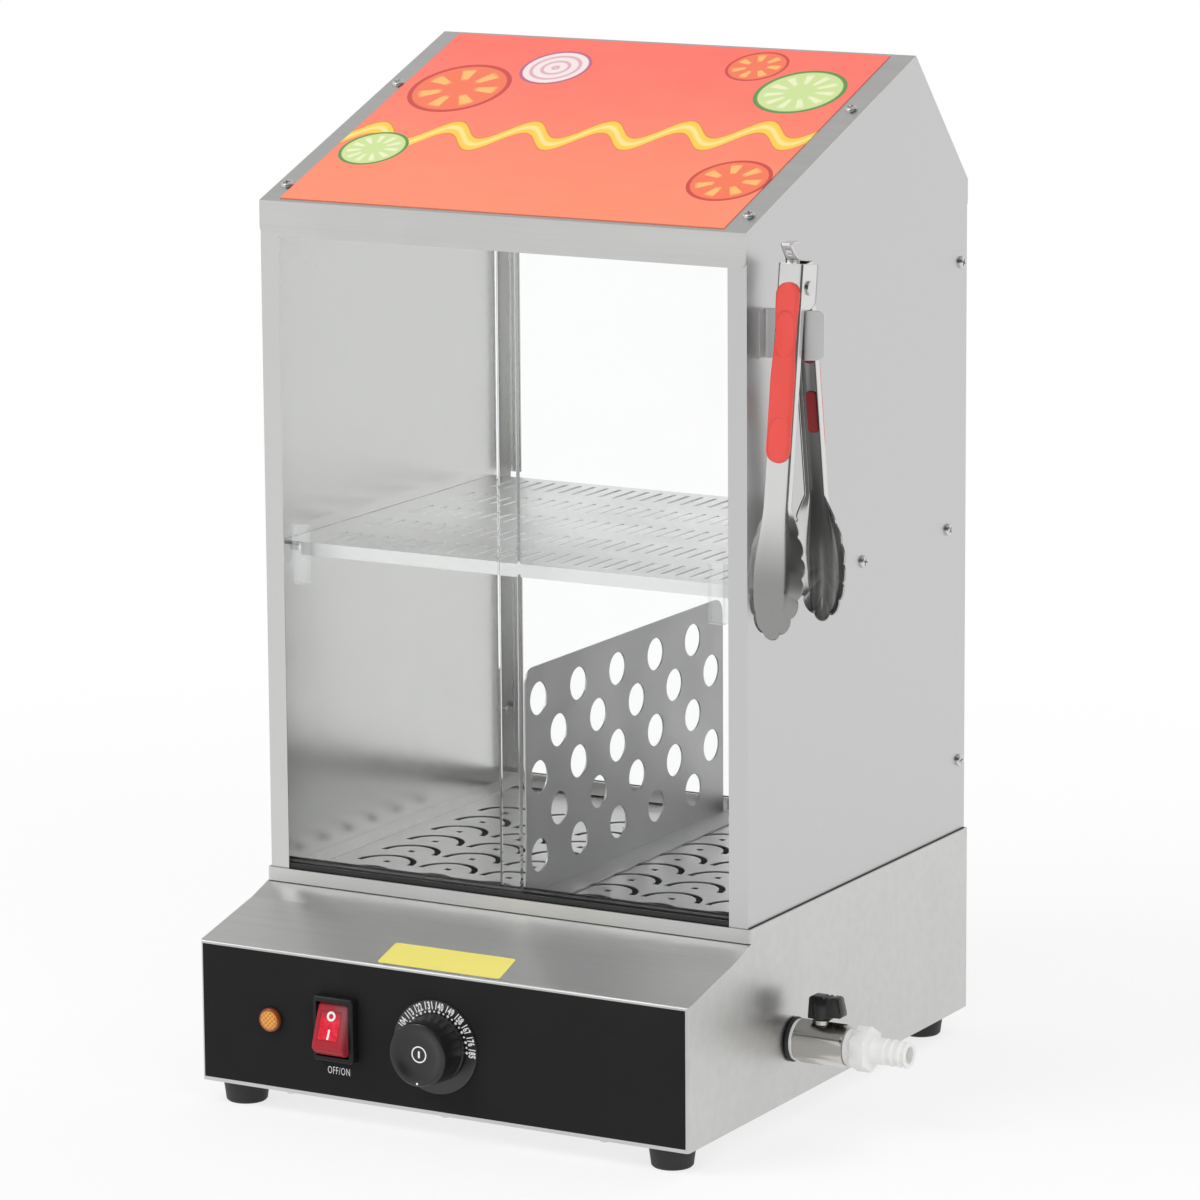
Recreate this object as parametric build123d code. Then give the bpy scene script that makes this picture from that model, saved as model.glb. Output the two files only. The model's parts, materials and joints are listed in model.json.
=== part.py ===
from build123d import *
import math
import os

# Countertop hot dog steamer: a glazed steam cabinet on a water-heated base, with a sloping control
# console in front, a drain valve and a pair of serving tongs on its right side.
# Millimetres. X runs to the machine's right, Y to its rear and Z up. While a piece is made, X is 0 on
# the cabinet's middle plane, Y is 0 on the cabinet's front face and Z is 0 on top of the base.
# place() then moves every piece to the bottom centre of the whole machine.

# ---- sheet metal and general clearances ----
SHEET = 1.0
FIT_GAP = 0.3                # between a loose piece and what it lies in or beside
RUNNING_GAP = 0.06           # radial, round a turning pin or shaft
HOLE_GAP = 0.2               # radial, round a fixed stub in a sheet hole

# ---- cabinet ----
CABINET_WIDTH = 330.0
CABINET_DEPTH = 288.5
FRONT_HEIGHT = 418.4
RIDGE_SETBACK = 217.0
RIDGE_HEIGHT = 498.9
REAR_HEIGHT = 417.0
STILE_WIDTH = 12.5
SILL_WIDTH = 9.2             # inward foot flange of a side panel
RAIL_HEIGHT = 19.9           # front turn-down of the roof sheet
REAR_RAIL_HEIGHT = 18.5      # its rear turn-down
RAIL_CORNER = 5.0

# ---- band between cabinet and base ----
BAND_HEIGHT = 8.4
BAND_PROUD = 2.25            # beyond the cabinet's sides
BAND_FRONT_PROUD = 1.5
BAND_WALL = 1.2

# ---- base and console ----
BASE_HEIGHT = 107.4
CONSOLE_REACH = 77.7         # console front, ahead of the cabinet's front
CONSOLE_LIP_DROP = 20.6      # console's front top edge, below the base top
SLOPE_BREAK_REACH = 19.0
SLOPE_BREAK_DROP = 6.6
CONSOLE_SEAM = 18.5          # rear edge of the console cover, behind the cabinet's front
CONSOLE_BEND = 2.0
DECK_MARGIN = 20.0           # deck sheet round the tank
BASE_LIP = 12.0              # inward lips that hold the bottom plate

# ---- bottom plate and feet ----
VENT_LENGTH = 60.0
VENT_WIDTH = 5.0
VENT_PITCH = 16.0
VENT_COUNT = 7
FOOT_HEIGHT = 14.0
FOOT_TOP_RADIUS = 14.0
FOOT_TREAD_RADIUS = 12.5
FOOT_WELL_RADIUS = 6.0
FOOT_WELL_DEPTH = 7.0
FOOT_EDGE = 1.0
FOOT_INSET_X = 20.25
FOOT_INSET_FRONT = 17.7
FOOT_INSET_REAR = 25.0

# ---- pan-head screws ----
SCREW_HEAD_RADIUS = 3.8
SCREW_HEAD_HEIGHT = 2.2
SCREW_CROWN = 1.0
SCREW_SHANK_RADIUS = 1.9
SCREW_SHANK_LENGTH = 5.0
FRONT_SCREW_PITCH = 108.0
PLATE_SCREW_INSET = 7.0

# ---- water tank ----
TANK_DEPTH = 88.0
TANK_LENGTH_FRONT = 30.0     # inner front wall, behind the cabinet's front
TANK_LENGTH_REAR = 249.0     # inner rear wall
TANK_CORNER = 6.0
TANK_RIM = 6.0

# ---- heating element and temperature sensor ----
ELEMENT_RADIUS = 4.0
ELEMENT_HALF_SPREAD = 45.0
ELEMENT_HEIGHT = 22.0        # above the tank floor
ELEMENT_BEND = 30.0
ELEMENT_REAR_GAP = 35.0
ELEMENT_TAIL = 24.0
BUSHING_RADIUS = 7.0
BUSHING_FLANGE = 9.5
BUSHING_FLANGE_THICKNESS = 3.0
SENSOR_RADIUS = 4.0
SENSOR_LENGTH = 80.0
SENSOR_X = 85.0
SENSOR_HEIGHT = 34.0

# ---- control panel ----
OVERLAY_THICKNESS = 0.4
OVERLAY_MARGIN_SIDE = 2.0
OVERLAY_MARGIN_TOP = 1.6
OVERLAY_MARGIN_BOTTOM = 2.4
LAMP_X = -116.7
LAMP_DROP = 63.3
LAMP_BARREL_RADIUS = 6.0
LAMP_BARREL_LENGTH = 26.0
LAMP_RIM_RADIUS = 7.4
LAMP_RIM_THICKNESS = 1.2
LENS_FRONT_RADIUS = 5.8
LENS_HEIGHT = 4.0
LENS_STEP = 0.9
SWITCH_X = -70.0
SWITCH_DROP = 62.6
SWITCH_BEZEL_WIDTH = 28.0
SWITCH_BEZEL_HEIGHT = 39.6
SWITCH_BEZEL_PROUD = 6.5
SWITCH_WALL = 1.2
SWITCH_CORNER = 2.0
SWITCH_EDGE = 0.8
SWITCH_DEPTH = 18.0          # housing behind the panel
ROCKER_WIDTH = 22.0
ROCKER_RADIUS = 16.4         # from the rocker's axis to its ends
ROCKER_FACE = 7.7            # face ahead of the rocker's axis
ROCKER_BACK = 1.5
ROCKER_AXIS_PROUD = 2.3      # axis ahead of the panel
ROCKER_TILT = 20.0           # off position, top pressed in
ROCKER_HOLLOW_RADIUS = 62.0
ROCKER_HOLLOW_DEPTH = 0.9
ROCKER_PIN_RADIUS = 1.5
DIAL_X = -2.0
DIAL_DROP = 65.3
DIAL_RADIUS = 29.0
DIAL_THICKNESS = 1.0
DIAL_BEVEL = 0.4
KNOB_PROUD = 22.5
KNOB_RADIUS = 20.0
KNOB_FRONT_RADIUS = 19.2
KNOB_SKIRT_RADIUS = 22.5
KNOB_SKIRT_THICKNESS = 3.0
KNOB_DISH_RADIUS = 16.0
KNOB_DISH_DEPTH = 2.6
KNOB_DISH_FLOOR_RADIUS = 7.0
POINTER_HALF_WIDTH = 2.0
POINTER_HEIGHT = 1.2
KNOB_EDGE = 1.4              # bevel round the front
KNOB_WALL = 3.0              # left in front of the spindle
KNOB_LIFT = 0.4              # knob clear of the dial
SHAFT_RADIUS = 3.0
BUSH_RADIUS = 4.6
THERMOSTAT_WIDTH = 36.0
THERMOSTAT_DEPTH = 26.0
THERMOSTAT_HEIGHT = 30.0
THERMOSTAT_CORNER = 3.0

# ---- drain valve, along X on the right side of the base ----
VALVE_Y = 53.0
VALVE_DROP = 70.5
GASKET_THICKNESS = 3.0
GASKET_RADIUS = 13.6
GASKET_CHAMFER = 1.0
WASHER_THICKNESS = 1.8
WASHER_RADIUS = 12.6
VALVE_HEX = 24.0
VALVE_LENGTH = 33.0
VALVE_STUB_RADIUS = 10.4
VALVE_PORT_RADIUS = 4.5
VALVE_BALL_RADIUS = 8.2
VALVE_BALL_PLACE = 15.0      # ball centre, from the hex's inner end
VALVE_OUTLET_RADIUS = 8.0
VALVE_OUTLET_DEPTH = 8.0
LOCK_NUT_HEX = 27.0
LOCK_NUT_THICKNESS = 6.0
STUB_END = 3.0               # stub beyond the lock nut
GLAND_BOSS_RADIUS = 5.0
GLAND_BOSS_HEIGHT = 3.0
STEM_RADIUS = 3.0
HANDLE_LENGTH = 22.0
HANDLE_WIDTH = 10.0
HANDLE_HEIGHT = 14.0
HANDLE_LEAD = 8.0            # handle's inner end, from the stem's axis
HANDLE_HUB_RADIUS = 6.5
HANDLE_TAPER = 3.0           # degrees
HANDLE_EDGE = 1.5
HANDLE_RELIEF = 2.0
BARB_COLLAR = 5.0
BARB_COLLAR_RADIUS = 11.2
BARB_HEX = 25.0
BARB_HEX_LENGTH = 10.0
BARB_LENGTH = 24.8
BARB_LAND_RADIUS = 8.0
BARB_GROOVE_RADIUS = 7.2
BARB_GROOVES = 3
BARB_GROOVE_STEP = 0.9
BARB_LAND_LENGTH = 10.0
BARB_BORE_RADIUS = 5.0

# ---- cable gland in the rear of the base ----
CABLE_X = -120.0
CABLE_DROP = 78.0
CABLE_BORE_RADIUS = 4.0
CABLE_GLAND_RADIUS = 8.0
CABLE_GLAND_HEX = 20.0
CABLE_GLAND_HEX_LENGTH = 5.0
CABLE_GLAND_DOME = 9.0
CABLE_DOME_RADIUS = 9.0
CABLE_DOME_CHAMFER = 3.0
CABLE_NUT_THICKNESS = 5.0
TERMINAL_LENGTH = 56.0
TERMINAL_WIDTH = 20.0
TERMINAL_HEIGHT = 16.0
TERMINAL_WAYS = 4

# ---- doors ----
GLASS = 4.0
DOOR_PITCH = 9.5             # from one sliding plane to the other
DOOR_WIDTH = 166.5
DOOR_OVERLAP = 19.0
TRACK_GROOVE = 4.8
TRACK_WALL = 1.4
TRACK_FLOOR = 1.5
LOWER_TRACK_HEIGHT = 9.5
UPPER_TRACK_HEIGHT = 16.0
TRACK_TOP_CLEARANCE = 6.0    # lets a door lift out of the lower track
PULL_WIDTH = 12.0
PULL_HEIGHT = 36.0
PULL_THICKNESS = 5.0
PULL_INSET = 10.0            # from the door's outer edge
PULL_FOOT = 187.0            # above the base top
PULL_HOLLOW_RADIUS = 7.0
PULL_HOLLOW_DEPTH = 1.75
PULL_EDGE = 1.0

# ---- rear glass ----
REAR_GLASS_SIDE_GAP = 8.0
REAR_CHANNEL_HEIGHT = 9.0
REAR_CHANNEL_WALL = 1.2

# ---- bun shelf ----
SHELF_TOP = 209.0
SHELF_FRONT = 18.0
SHELF_REAR = 270.0
SHELF_LIP = 8.0
SLOT_WIDTH = 3.0
SLOT_LENGTH = 29.0
SLOT_PITCH = 9.8
SLOT_COLUMNS = 30
SLOT_ROW_PITCH = 50.7
SLOT_ROWS = 5
SLOT_FIRST_ROW = 43.7
SHELF_RAIL_WIDTH = 12.0
SHELF_RAIL_HEIGHT = 14.0
RAIL_SCREW_DROP = 6.5        # below the shelf's top
RAIL_SCREW_FIRST = 31.3
RAIL_SCREW_PITCH = 116.0

# ---- divider ----
DIVIDER_FRONT = 27.0
DIVIDER_REAR = 277.0
DIVIDER_HEIGHT = 140.0
DIVIDER_FOOT = 20.0
DIVIDER_CORNER = 10.0
DIVIDER_HOLE_RADIUS = 10.25
DIVIDER_HOLE_PITCH = 48.5
DIVIDER_ROW_PITCH = 24.2
DIVIDER_HOLES = 5
DIVIDER_ROWS = 5
DIVIDER_FIRST_HOLE = 16.0    # from the front edge
DIVIDER_FIRST_ROW = 23.0     # above the foot

# ---- steam plates ----
PLATE_WIDTH = 154.0
PLATE_MIDDLE_GAP = 3.0
PLATE_FRONT = 19.0
PLATE_REAR = 256.0
PLATE_CORNER = 3.0
ARC_RADIUS = 20.0
ARC_WIDTH = 4.0
ARC_COLUMNS = 3
ARC_COLUMN_PITCH = 44.0
ARC_ROWS = 7
ARC_ROW_PITCH = 29.2
ARC_FIRST_ROW = 34.0
DOT_SIZE = 4.0
DOT_SHIFT = 3.0

# ---- poster on the roof ----
POSTER_MARGIN_LEFT = 12.5    # bare roof beside the poster
POSTER_MARGIN_RIGHT = 16.0
POSTER_START = 3.0           # up the slope from the front edge
POSTER_END_GAP = 2.0         # below the ridge
POSTER_THICKNESS = 0.5
ROOF_SCREW_GAP = 0.7         # from a roof screw's head to the poster's left edge
ROOF_SCREW_LOW = 20.0        # up the slope
ROOF_SCREW_HIGH = 158.0
REAR_SCREW_INSET = 8.5       # side screws, from the cabinet's rear
REAR_SCREW_LOW = 53.4
REAR_SCREW_HIGH = 367.0

# ---- tongs and their holder ----
TONGS_X = 20.5               # middle of the tongs, out from the right side
TONGS_Y = 23.0
PIVOT_Z = 386.3
TONGS_SHEET = 1.0
ARM_WIDTH = 16.0
ARM_FACE = 9.8               # outer face, from the pivot's axis
ARM_FLANGE = 5.5
ARM_TOP = 13.7               # above the pivot
ARM_LENGTH = 134.0           # straight channel, below the pivot
ARM_TILT = 8.0
LOBE_RADIUS = 12.6
INNER_LOBE_REACH = 4.4       # rear arm's lobes, ahead of the pivot's axis
SCOOP_HALF_WIDTH = 19.0
SCOOP_HALF_LENGTH = 36.0
SCOOP_DEPTH = 12.6
SCOOP_CENTRE = 164.0         # below the pivot
SCALLOP_RADIUS = 6.6
SCALLOP_NOTCH = 2.0
SCALLOP_COUNT = 11
SCALLOP_SPREAD = 262.0       # degrees round the scoop's end
SHOULDER_POINTS = 6
RIVET_RADIUS = 2.5
RIVET_HEAD_RADIUS = 4.2
RIVET_HEAD = 1.2
SPRING_RADIUS = 4.6
SPRING_HALF_LENGTH = 3.6
SPRING_WIRE = 1.2
SPRING_COILS = 3
SPRING_LEG = 11.5
GRIP_TOP = 5.0               # above the pivot
GRIP_LENGTH = 103.0
GRIP_SIDE_INSET = 0.4        # from the arm's sides
GRIP_THICKNESS = 3.0
GRIP_EDGE = 1.2
THUMB_PLACE = 23.0           # below the pivot
THUMB_RADIUS = 34.0
THUMB_DEPTH = 1.5
GRIP_TABS = ((40.0, 48.0), (65.0, 90.0))
GRIP_TAB_HALF_WIDTH = 3.5
TAB_WIDTH = 8.6
TAB_THICKNESS = 1.0
TAB_PLACE = 5.6              # tab's middle ahead of the pivot's axis
TAB_BEND = 17.0              # above the pivot
TAB_TOP = 27.0
TAB_LEAN = 8.0
TAB_LIP = 13.0
TAB_FOOT = 9.0               # below the pivot
TAB_HOLE_RADIUS = 2.2
HOLDER_SHEET = 1.2
HOLDER_HEIGHT = 29.0
HOLDER_FLANGE = 8.0
HOLDER_WEB_OFFSET = -1.5     # web's middle, ahead of the tongs' pivot
HOLDER_STRAIGHT = 26.0       # web out from the side before it flares
HOLDER_REACH = 37.0
HOLDER_FLARE = 4.0
HOLDER_CORNER = 6.0
HOLDER_BEND = 2.0

# ---- derived places ----
HALF_WIDTH = CABINET_WIDTH / 2
BASE_HALF = HALF_WIDTH + BAND_PROUD
BASE_REAR = CABINET_DEPTH + BAND_FRONT_PROUD
PANEL_FACE = -CONSOLE_REACH
OVERLAY_FACE = PANEL_FACE - OVERLAY_THICKNESS
DIAL_FACE = OVERLAY_FACE - DIAL_THICKNESS
DECK_OPENING = BASE_HALF - DECK_MARGIN
TANK_HALF = DECK_OPENING - SHEET - FIT_GAP
TANK_FLOOR = -TANK_DEPTH
FLOOR_TOP = SHEET            # ledge and tank rim under the steam plates
PLATE_TOP = FLOOR_TOP + SHEET
FRONT_GLASS_Y = SHEET + TRACK_WALL + TRACK_GROOVE / 2
REAR_GLASS_Y = FRONT_GLASS_Y + DOOR_PITCH
TRACK_DEPTH = 2 * TRACK_WALL + TRACK_GROOVE + DOOR_PITCH
TRACK_FOOT = 2 * SHEET
RAIL_FOOT = FRONT_HEIGHT - RAIL_HEIGHT
REAR_RAIL_FOOT = REAR_HEIGHT - REAR_RAIL_HEIGHT
SLOPE_ANGLE = math.degrees(math.atan2(RIDGE_HEIGHT - FRONT_HEIGHT, RIDGE_SETBACK))
SLOPE_LENGTH = math.hypot(RIDGE_HEIGHT - FRONT_HEIGHT, RIDGE_SETBACK)
ROOF_SCREW_INSET = POSTER_MARGIN_LEFT - ROOF_SCREW_GAP - SCREW_HEAD_RADIUS
GASKET_X = BASE_HALF
WASHER_X = GASKET_X + GASKET_THICKNESS
HEX_X = WASHER_X + WASHER_THICKNESS
BALL_X = HEX_X + VALVE_BALL_PLACE
OUTLET_X = HEX_X + VALVE_LENGTH
VALVE_END = OUTLET_X + BARB_COLLAR + BARB_HEX_LENGTH + BARB_LENGTH
STUB_START = TANK_HALF - LOCK_NUT_THICKNESS - STUB_END
BOSS_TOP = -VALVE_DROP + VALVE_HEX / 2 + GLAND_BOSS_HEIGHT
HANDLE_FOOT = BOSS_TOP + FIT_GAP
CABLE_END = BASE_REAR + CABLE_GLAND_HEX_LENGTH + CABLE_GLAND_DOME
KNOB_FRONT = PANEL_FACE - KNOB_PROUD
ROCKER_AXIS_Y = PANEL_FACE - ROCKER_AXIS_PROUD
TONGS_PLACE = (HALF_WIDTH + TONGS_X, TONGS_Y, PIVOT_Z)
HOLDER_TOP = PIVOT_Z - LOBE_RADIUS - FIT_GAP
HOLDER_WEB_Y = TONGS_Y + HOLDER_WEB_OFFSET

# The machine's bottom centre, in the coordinates used above.
CENTRE_X = (VALVE_END - BASE_HALF) / 2
CENTRE_Y = (KNOB_FRONT + CABLE_END) / 2
FLOOR_Z = -BASE_HEIGHT - FOOT_HEIGHT


def place(shape):
    """Move a piece so that the machine's bottom centre is the origin."""
    return Pos(-CENTRE_X, -CENTRE_Y, -FLOOR_Z) * shape


def block(x_range, y_range, z_range):
    """Straight block between pairs of coordinates."""
    low = Vector(x_range[0], y_range[0], z_range[0])
    high = Vector(x_range[1], y_range[1], z_range[1])
    size = high - low
    return Pos(*(low + high) / 2) * Box(size.X, size.Y, size.Z)


def rod_x(radius, x_range, y, z):
    """Round rod along X."""
    return Plane.YZ.offset(x_range[0]) * Pos(y, z) * extrude(Circle(radius), x_range[1] - x_range[0])


def rod_y(radius, y_range, x, z):
    """Round rod along Y."""
    disc = Plane.XZ.offset(-y_range[0]) * Pos(x, z) * Circle(radius)
    return extrude(disc, y_range[1] - y_range[0], dir=(0, 1, 0))


def rod_z(radius, z_range, x, y):
    """Round rod along Z."""
    return Pos(x, y, z_range[0]) * extrude(Circle(radius), z_range[1] - z_range[0])


def hex_x(across_flats, x_range, y, z):
    """Hexagonal bar along X with flats on top and below."""
    outline = RegularPolygon(across_flats / 2, 6, major_radius=False)
    return Plane.YZ.offset(x_range[0]) * Pos(y, z) * extrude(outline, x_range[1] - x_range[0])


def prism_x(outline, x_range):
    """Solid along X from (y, z) points."""
    face = make_face(Polyline(*outline, close=True))
    return Plane.YZ.offset(x_range[0]) * extrude(face, x_range[1] - x_range[0])


def mirrored(shape):
    """Left-hand copy of a right-hand piece."""
    return mirror(shape, Plane.YZ)


def pan_screw():
    """Pan-head screw with its seat at Z 0 and its head upwards."""
    head = Cylinder(SCREW_HEAD_RADIUS, SCREW_HEAD_HEIGHT, align=(Align.CENTER, Align.CENTER, Align.MIN))
    head = chamfer(head.edges().group_by(Axis.Z)[-1], SCREW_CROWN)
    shank = Cylinder(SCREW_SHANK_RADIUS, SCREW_SHANK_LENGTH, align=(Align.CENTER, Align.CENTER, Align.MAX))
    return head + shank


# ---------------------------------------------------------------- base

def console_outline():
    """(y, z) points of the console's side."""
    return [
        (PANEL_FACE, -BASE_HEIGHT),
        (PANEL_FACE, -CONSOLE_LIP_DROP),
        (-SLOPE_BREAK_REACH, -SLOPE_BREAK_DROP),
        (0, 0),
        (CONSOLE_SEAM, 0),
        (CONSOLE_SEAM, -BASE_HEIGHT),
    ]


def console_cover():
    """Folded front cover: panel, slope, cheeks and the lip that the bottom plate is screwed to."""
    body = prism_x(console_outline(), (-BASE_HALF, BASE_HALF))
    front = body.edges().filter_by_position(Axis.Y, PANEL_FACE - 0.01, PANEL_FACE + 0.01)
    body = fillet([e for e in front if e.center().Z > -BASE_HEIGHT + 1], CONSOLE_BEND)
    openings = [body.faces().sort_by(Axis.Z)[0], body.faces().sort_by(Axis.Y)[-1]]
    cover = offset(body, amount=-SHEET, openings=openings)
    lip_z = -BASE_HEIGHT + SHEET
    inner = BASE_HALF - SHEET
    lip = block((-inner, inner), (PANEL_FACE + SHEET, PANEL_FACE + SHEET + BASE_LIP), (lip_z, lip_z + SHEET))
    cover = cover + lip
    for x in front_screw_places():
        cover -= rod_z(SCREW_SHANK_RADIUS, (lip_z, lip_z + SHEET), x, PANEL_FACE + PLATE_SCREW_INSET)
    reach = (PANEL_FACE - SHEET, PANEL_FACE + 2 * SHEET)
    cover -= rod_y(LAMP_BARREL_RADIUS, reach, LAMP_X, -LAMP_DROP)
    cover -= rod_y(BUSH_RADIUS, reach, DIAL_X, -DIAL_DROP)
    cover -= switch_cutout(reach)
    return cover


def switch_cutout(y_range):
    """Space that the switch housing takes through the panel."""
    half_x = ROCKER_WIDTH / 2 + FIT_GAP + SWITCH_WALL
    half_z = ROCKER_RADIUS + FIT_GAP + SWITCH_WALL
    return block(
        (SWITCH_X - half_x, SWITCH_X + half_x), y_range, (-SWITCH_DROP - half_z, -SWITCH_DROP + half_z)
    )


def front_screw_places():
    """X of the screws in the bottom plate's front and rear edges."""
    return (-FRONT_SCREW_PITCH, 0.0, FRONT_SCREW_PITCH)


def base_shell():
    """Folded rear of the base: side and rear walls, deck round the tank and the bottom lips."""
    outer = block((-BASE_HALF, BASE_HALF), (CONSOLE_SEAM, BASE_REAR), (-BASE_HEIGHT, 0))
    outer = fillet(outer.edges().filter_by(Axis.Z).group_by(Axis.Y)[-1], CONSOLE_BEND)
    inner_half = BASE_HALF - SHEET
    inner_rear = BASE_REAR - SHEET
    lip_top = -BASE_HEIGHT + 2 * SHEET
    shell = outer - block((-inner_half, inner_half), (CONSOLE_SEAM, inner_rear), (lip_top, -SHEET))
    lip_half = inner_half - BASE_LIP
    shell -= block((-lip_half, lip_half), (CONSOLE_SEAM, inner_rear - BASE_LIP), (-BASE_HEIGHT, lip_top))
    lip_foot = -BASE_HEIGHT + SHEET
    shell -= block((-inner_half, inner_half), (CONSOLE_SEAM, inner_rear), (-BASE_HEIGHT, lip_foot))
    front = TANK_LENGTH_FRONT - SHEET - FIT_GAP
    rear = TANK_LENGTH_REAR + SHEET + FIT_GAP
    shell -= block((-DECK_OPENING, DECK_OPENING), (front, rear), (-SHEET, 0))
    wall = (inner_half - SHEET, BASE_HALF + SHEET)
    shell -= rod_x(VALVE_STUB_RADIUS + HOLE_GAP, wall, VALVE_Y, -VALVE_DROP)
    shell -= rod_y(CABLE_GLAND_RADIUS, (inner_rear - SHEET, BASE_REAR + SHEET), CABLE_X, -CABLE_DROP)
    for x in front_screw_places():
        y = BASE_REAR - PLATE_SCREW_INSET
        shell -= rod_z(SCREW_SHANK_RADIUS, (lip_foot, lip_top), x, y)
    return shell


def foot_places():
    """(x, y) of the four feet."""
    x = BASE_HALF - FOOT_INSET_X
    front = PANEL_FACE + FOOT_INSET_FRONT
    rear = BASE_REAR - FOOT_INSET_REAR
    return {
        "foot_front_left": (-x, front),
        "foot_front_right": (x, front),
        "foot_rear_left": (-x, rear),
        "foot_rear_right": (x, rear),
    }


def bottom_plate():
    """Flat closing plate with ventilation slots."""
    half = BASE_HALF - SHEET - FIT_GAP
    front = PANEL_FACE + SHEET + FIT_GAP
    rear = BASE_REAR - SHEET - FIT_GAP
    plate = block((-half, half), (front, rear), (-BASE_HEIGHT, -BASE_HEIGHT + SHEET))
    depth = (-BASE_HEIGHT, -BASE_HEIGHT + SHEET)
    middle = (front + rear) / 2
    first = -(VENT_COUNT - 1) / 2 * VENT_PITCH
    for i in range(VENT_COUNT):
        x = first + i * VENT_PITCH
        plate -= block((x - VENT_WIDTH / 2, x + VENT_WIDTH / 2), (middle, middle + VENT_LENGTH), depth)
    for x in front_screw_places():
        plate -= rod_z(SCREW_SHANK_RADIUS, depth, x, PANEL_FACE + PLATE_SCREW_INSET)
        plate -= rod_z(SCREW_SHANK_RADIUS, depth, x, BASE_REAR - PLATE_SCREW_INSET)
    for x, y in foot_places().values():
        plate -= rod_z(SCREW_SHANK_RADIUS, depth, x, y)
    return plate


def foot(x, y):
    """Tapered rubber foot with a well for its screw."""
    points = [
        (SCREW_SHANK_RADIUS, FOOT_HEIGHT), (FOOT_TOP_RADIUS, FOOT_HEIGHT),
        (FOOT_TOP_RADIUS, FOOT_HEIGHT - 2 * FOOT_EDGE), (FOOT_TREAD_RADIUS, FOOT_EDGE),
        (FOOT_TREAD_RADIUS - FOOT_EDGE, 0), (FOOT_WELL_RADIUS, 0),
        (FOOT_WELL_RADIUS, FOOT_WELL_DEPTH), (SCREW_SHANK_RADIUS, FOOT_WELL_DEPTH),
    ]
    solid = revolve(Plane.XZ * make_face(Polyline(*points, close=True)), Axis.Z)
    return Pos(x, y, FLOOR_Z) * solid


def base_screws():
    """Screws of the bottom plate and the feet, heads down."""
    screw = Rot(180, 0, 0) * pan_screw()
    places = []
    for x in front_screw_places():
        places.append((x, PANEL_FACE + PLATE_SCREW_INSET, -BASE_HEIGHT))
        places.append((x, BASE_REAR - PLATE_SCREW_INSET, -BASE_HEIGHT))
    for x, y in foot_places().values():
        places.append((x, y, FLOOR_Z + FOOT_WELL_DEPTH))
    screws = [Pos(*point) * screw for point in places]
    return Compound(children=screws)


def water_tank():
    """Drawn pan that hangs by its rim in the deck, with holes for drain, element and sensor."""
    front = TANK_LENGTH_FRONT
    rear = TANK_LENGTH_REAR
    middle = (front + rear) / 2
    length = rear - front
    outer_wide = 2 * (TANK_HALF + SHEET)
    outer_long = length + 2 * SHEET
    pocket = RectangleRounded(2 * TANK_HALF, length, TANK_CORNER)
    shell = RectangleRounded(outer_wide, outer_long, TANK_CORNER + SHEET)
    rim = RectangleRounded(outer_wide + 2 * TANK_RIM, outer_long + 2 * TANK_RIM, TANK_CORNER)
    tank = Pos(0, middle, TANK_FLOOR - SHEET) * extrude(shell, TANK_DEPTH + SHEET)
    tank += Pos(0, middle, 0) * extrude(rim, SHEET)
    tank -= Pos(0, middle, TANK_FLOOR) * extrude(pocket, TANK_DEPTH + SHEET)
    wall_x = (TANK_HALF - SHEET, TANK_HALF + 2 * SHEET)
    tank -= rod_x(VALVE_STUB_RADIUS, wall_x, VALVE_Y, -VALVE_DROP)
    wall_y = (front - 2 * SHEET, front + SHEET)
    for x in (-ELEMENT_HALF_SPREAD, ELEMENT_HALF_SPREAD):
        tank -= rod_y(BUSHING_RADIUS, wall_y, x, TANK_FLOOR + ELEMENT_HEIGHT)
    tank -= rod_y(BUSHING_RADIUS, wall_y, SENSOR_X, TANK_FLOOR + SENSOR_HEIGHT)
    return tank


def wall_bushing(x, z):
    """Threaded bushing clamped through the tank's front wall: flange inside, nut outside."""
    wall = TANK_LENGTH_FRONT
    flange_in = rod_y(BUSHING_FLANGE, (wall, wall + BUSHING_FLANGE_THICKNESS), x, z)
    outside = wall - SHEET
    nut = rod_y(BUSHING_FLANGE, (outside - BUSHING_FLANGE_THICKNESS, outside), x, z)
    return flange_in + nut + rod_y(BUSHING_RADIUS, (outside, wall), x, z)


def heating_element():
    """U-shaped tubular heater with its two brazed bushings."""
    z = TANK_FLOOR + ELEMENT_HEIGHT
    start = TANK_LENGTH_FRONT - ELEMENT_TAIL
    turn = TANK_LENGTH_REAR - ELEMENT_REAR_GAP
    half = ELEMENT_HALF_SPREAD
    corners = [(-half, start, z), (-half, turn, z), (half, turn, z), (half, start, z)]
    path = FilletPolyline(*corners, radius=ELEMENT_BEND)
    section = Plane((-half, start, z), z_dir=(0, 1, 0)) * Circle(ELEMENT_RADIUS)
    element = sweep(section, path=path)
    return element + wall_bushing(-half, z) + wall_bushing(half, z)


def temperature_sensor():
    """Sensor pocket of the thermostat through the tank's front wall."""
    z = TANK_FLOOR + SENSOR_HEIGHT
    start = TANK_LENGTH_FRONT - 2 * BUSHING_FLANGE_THICKNESS
    rod = rod_y(SENSOR_RADIUS, (start, start + SENSOR_LENGTH), SENSOR_X, z)
    return rod + wall_bushing(SENSOR_X, z)


# ---------------------------------------------------------------- controls

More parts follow.
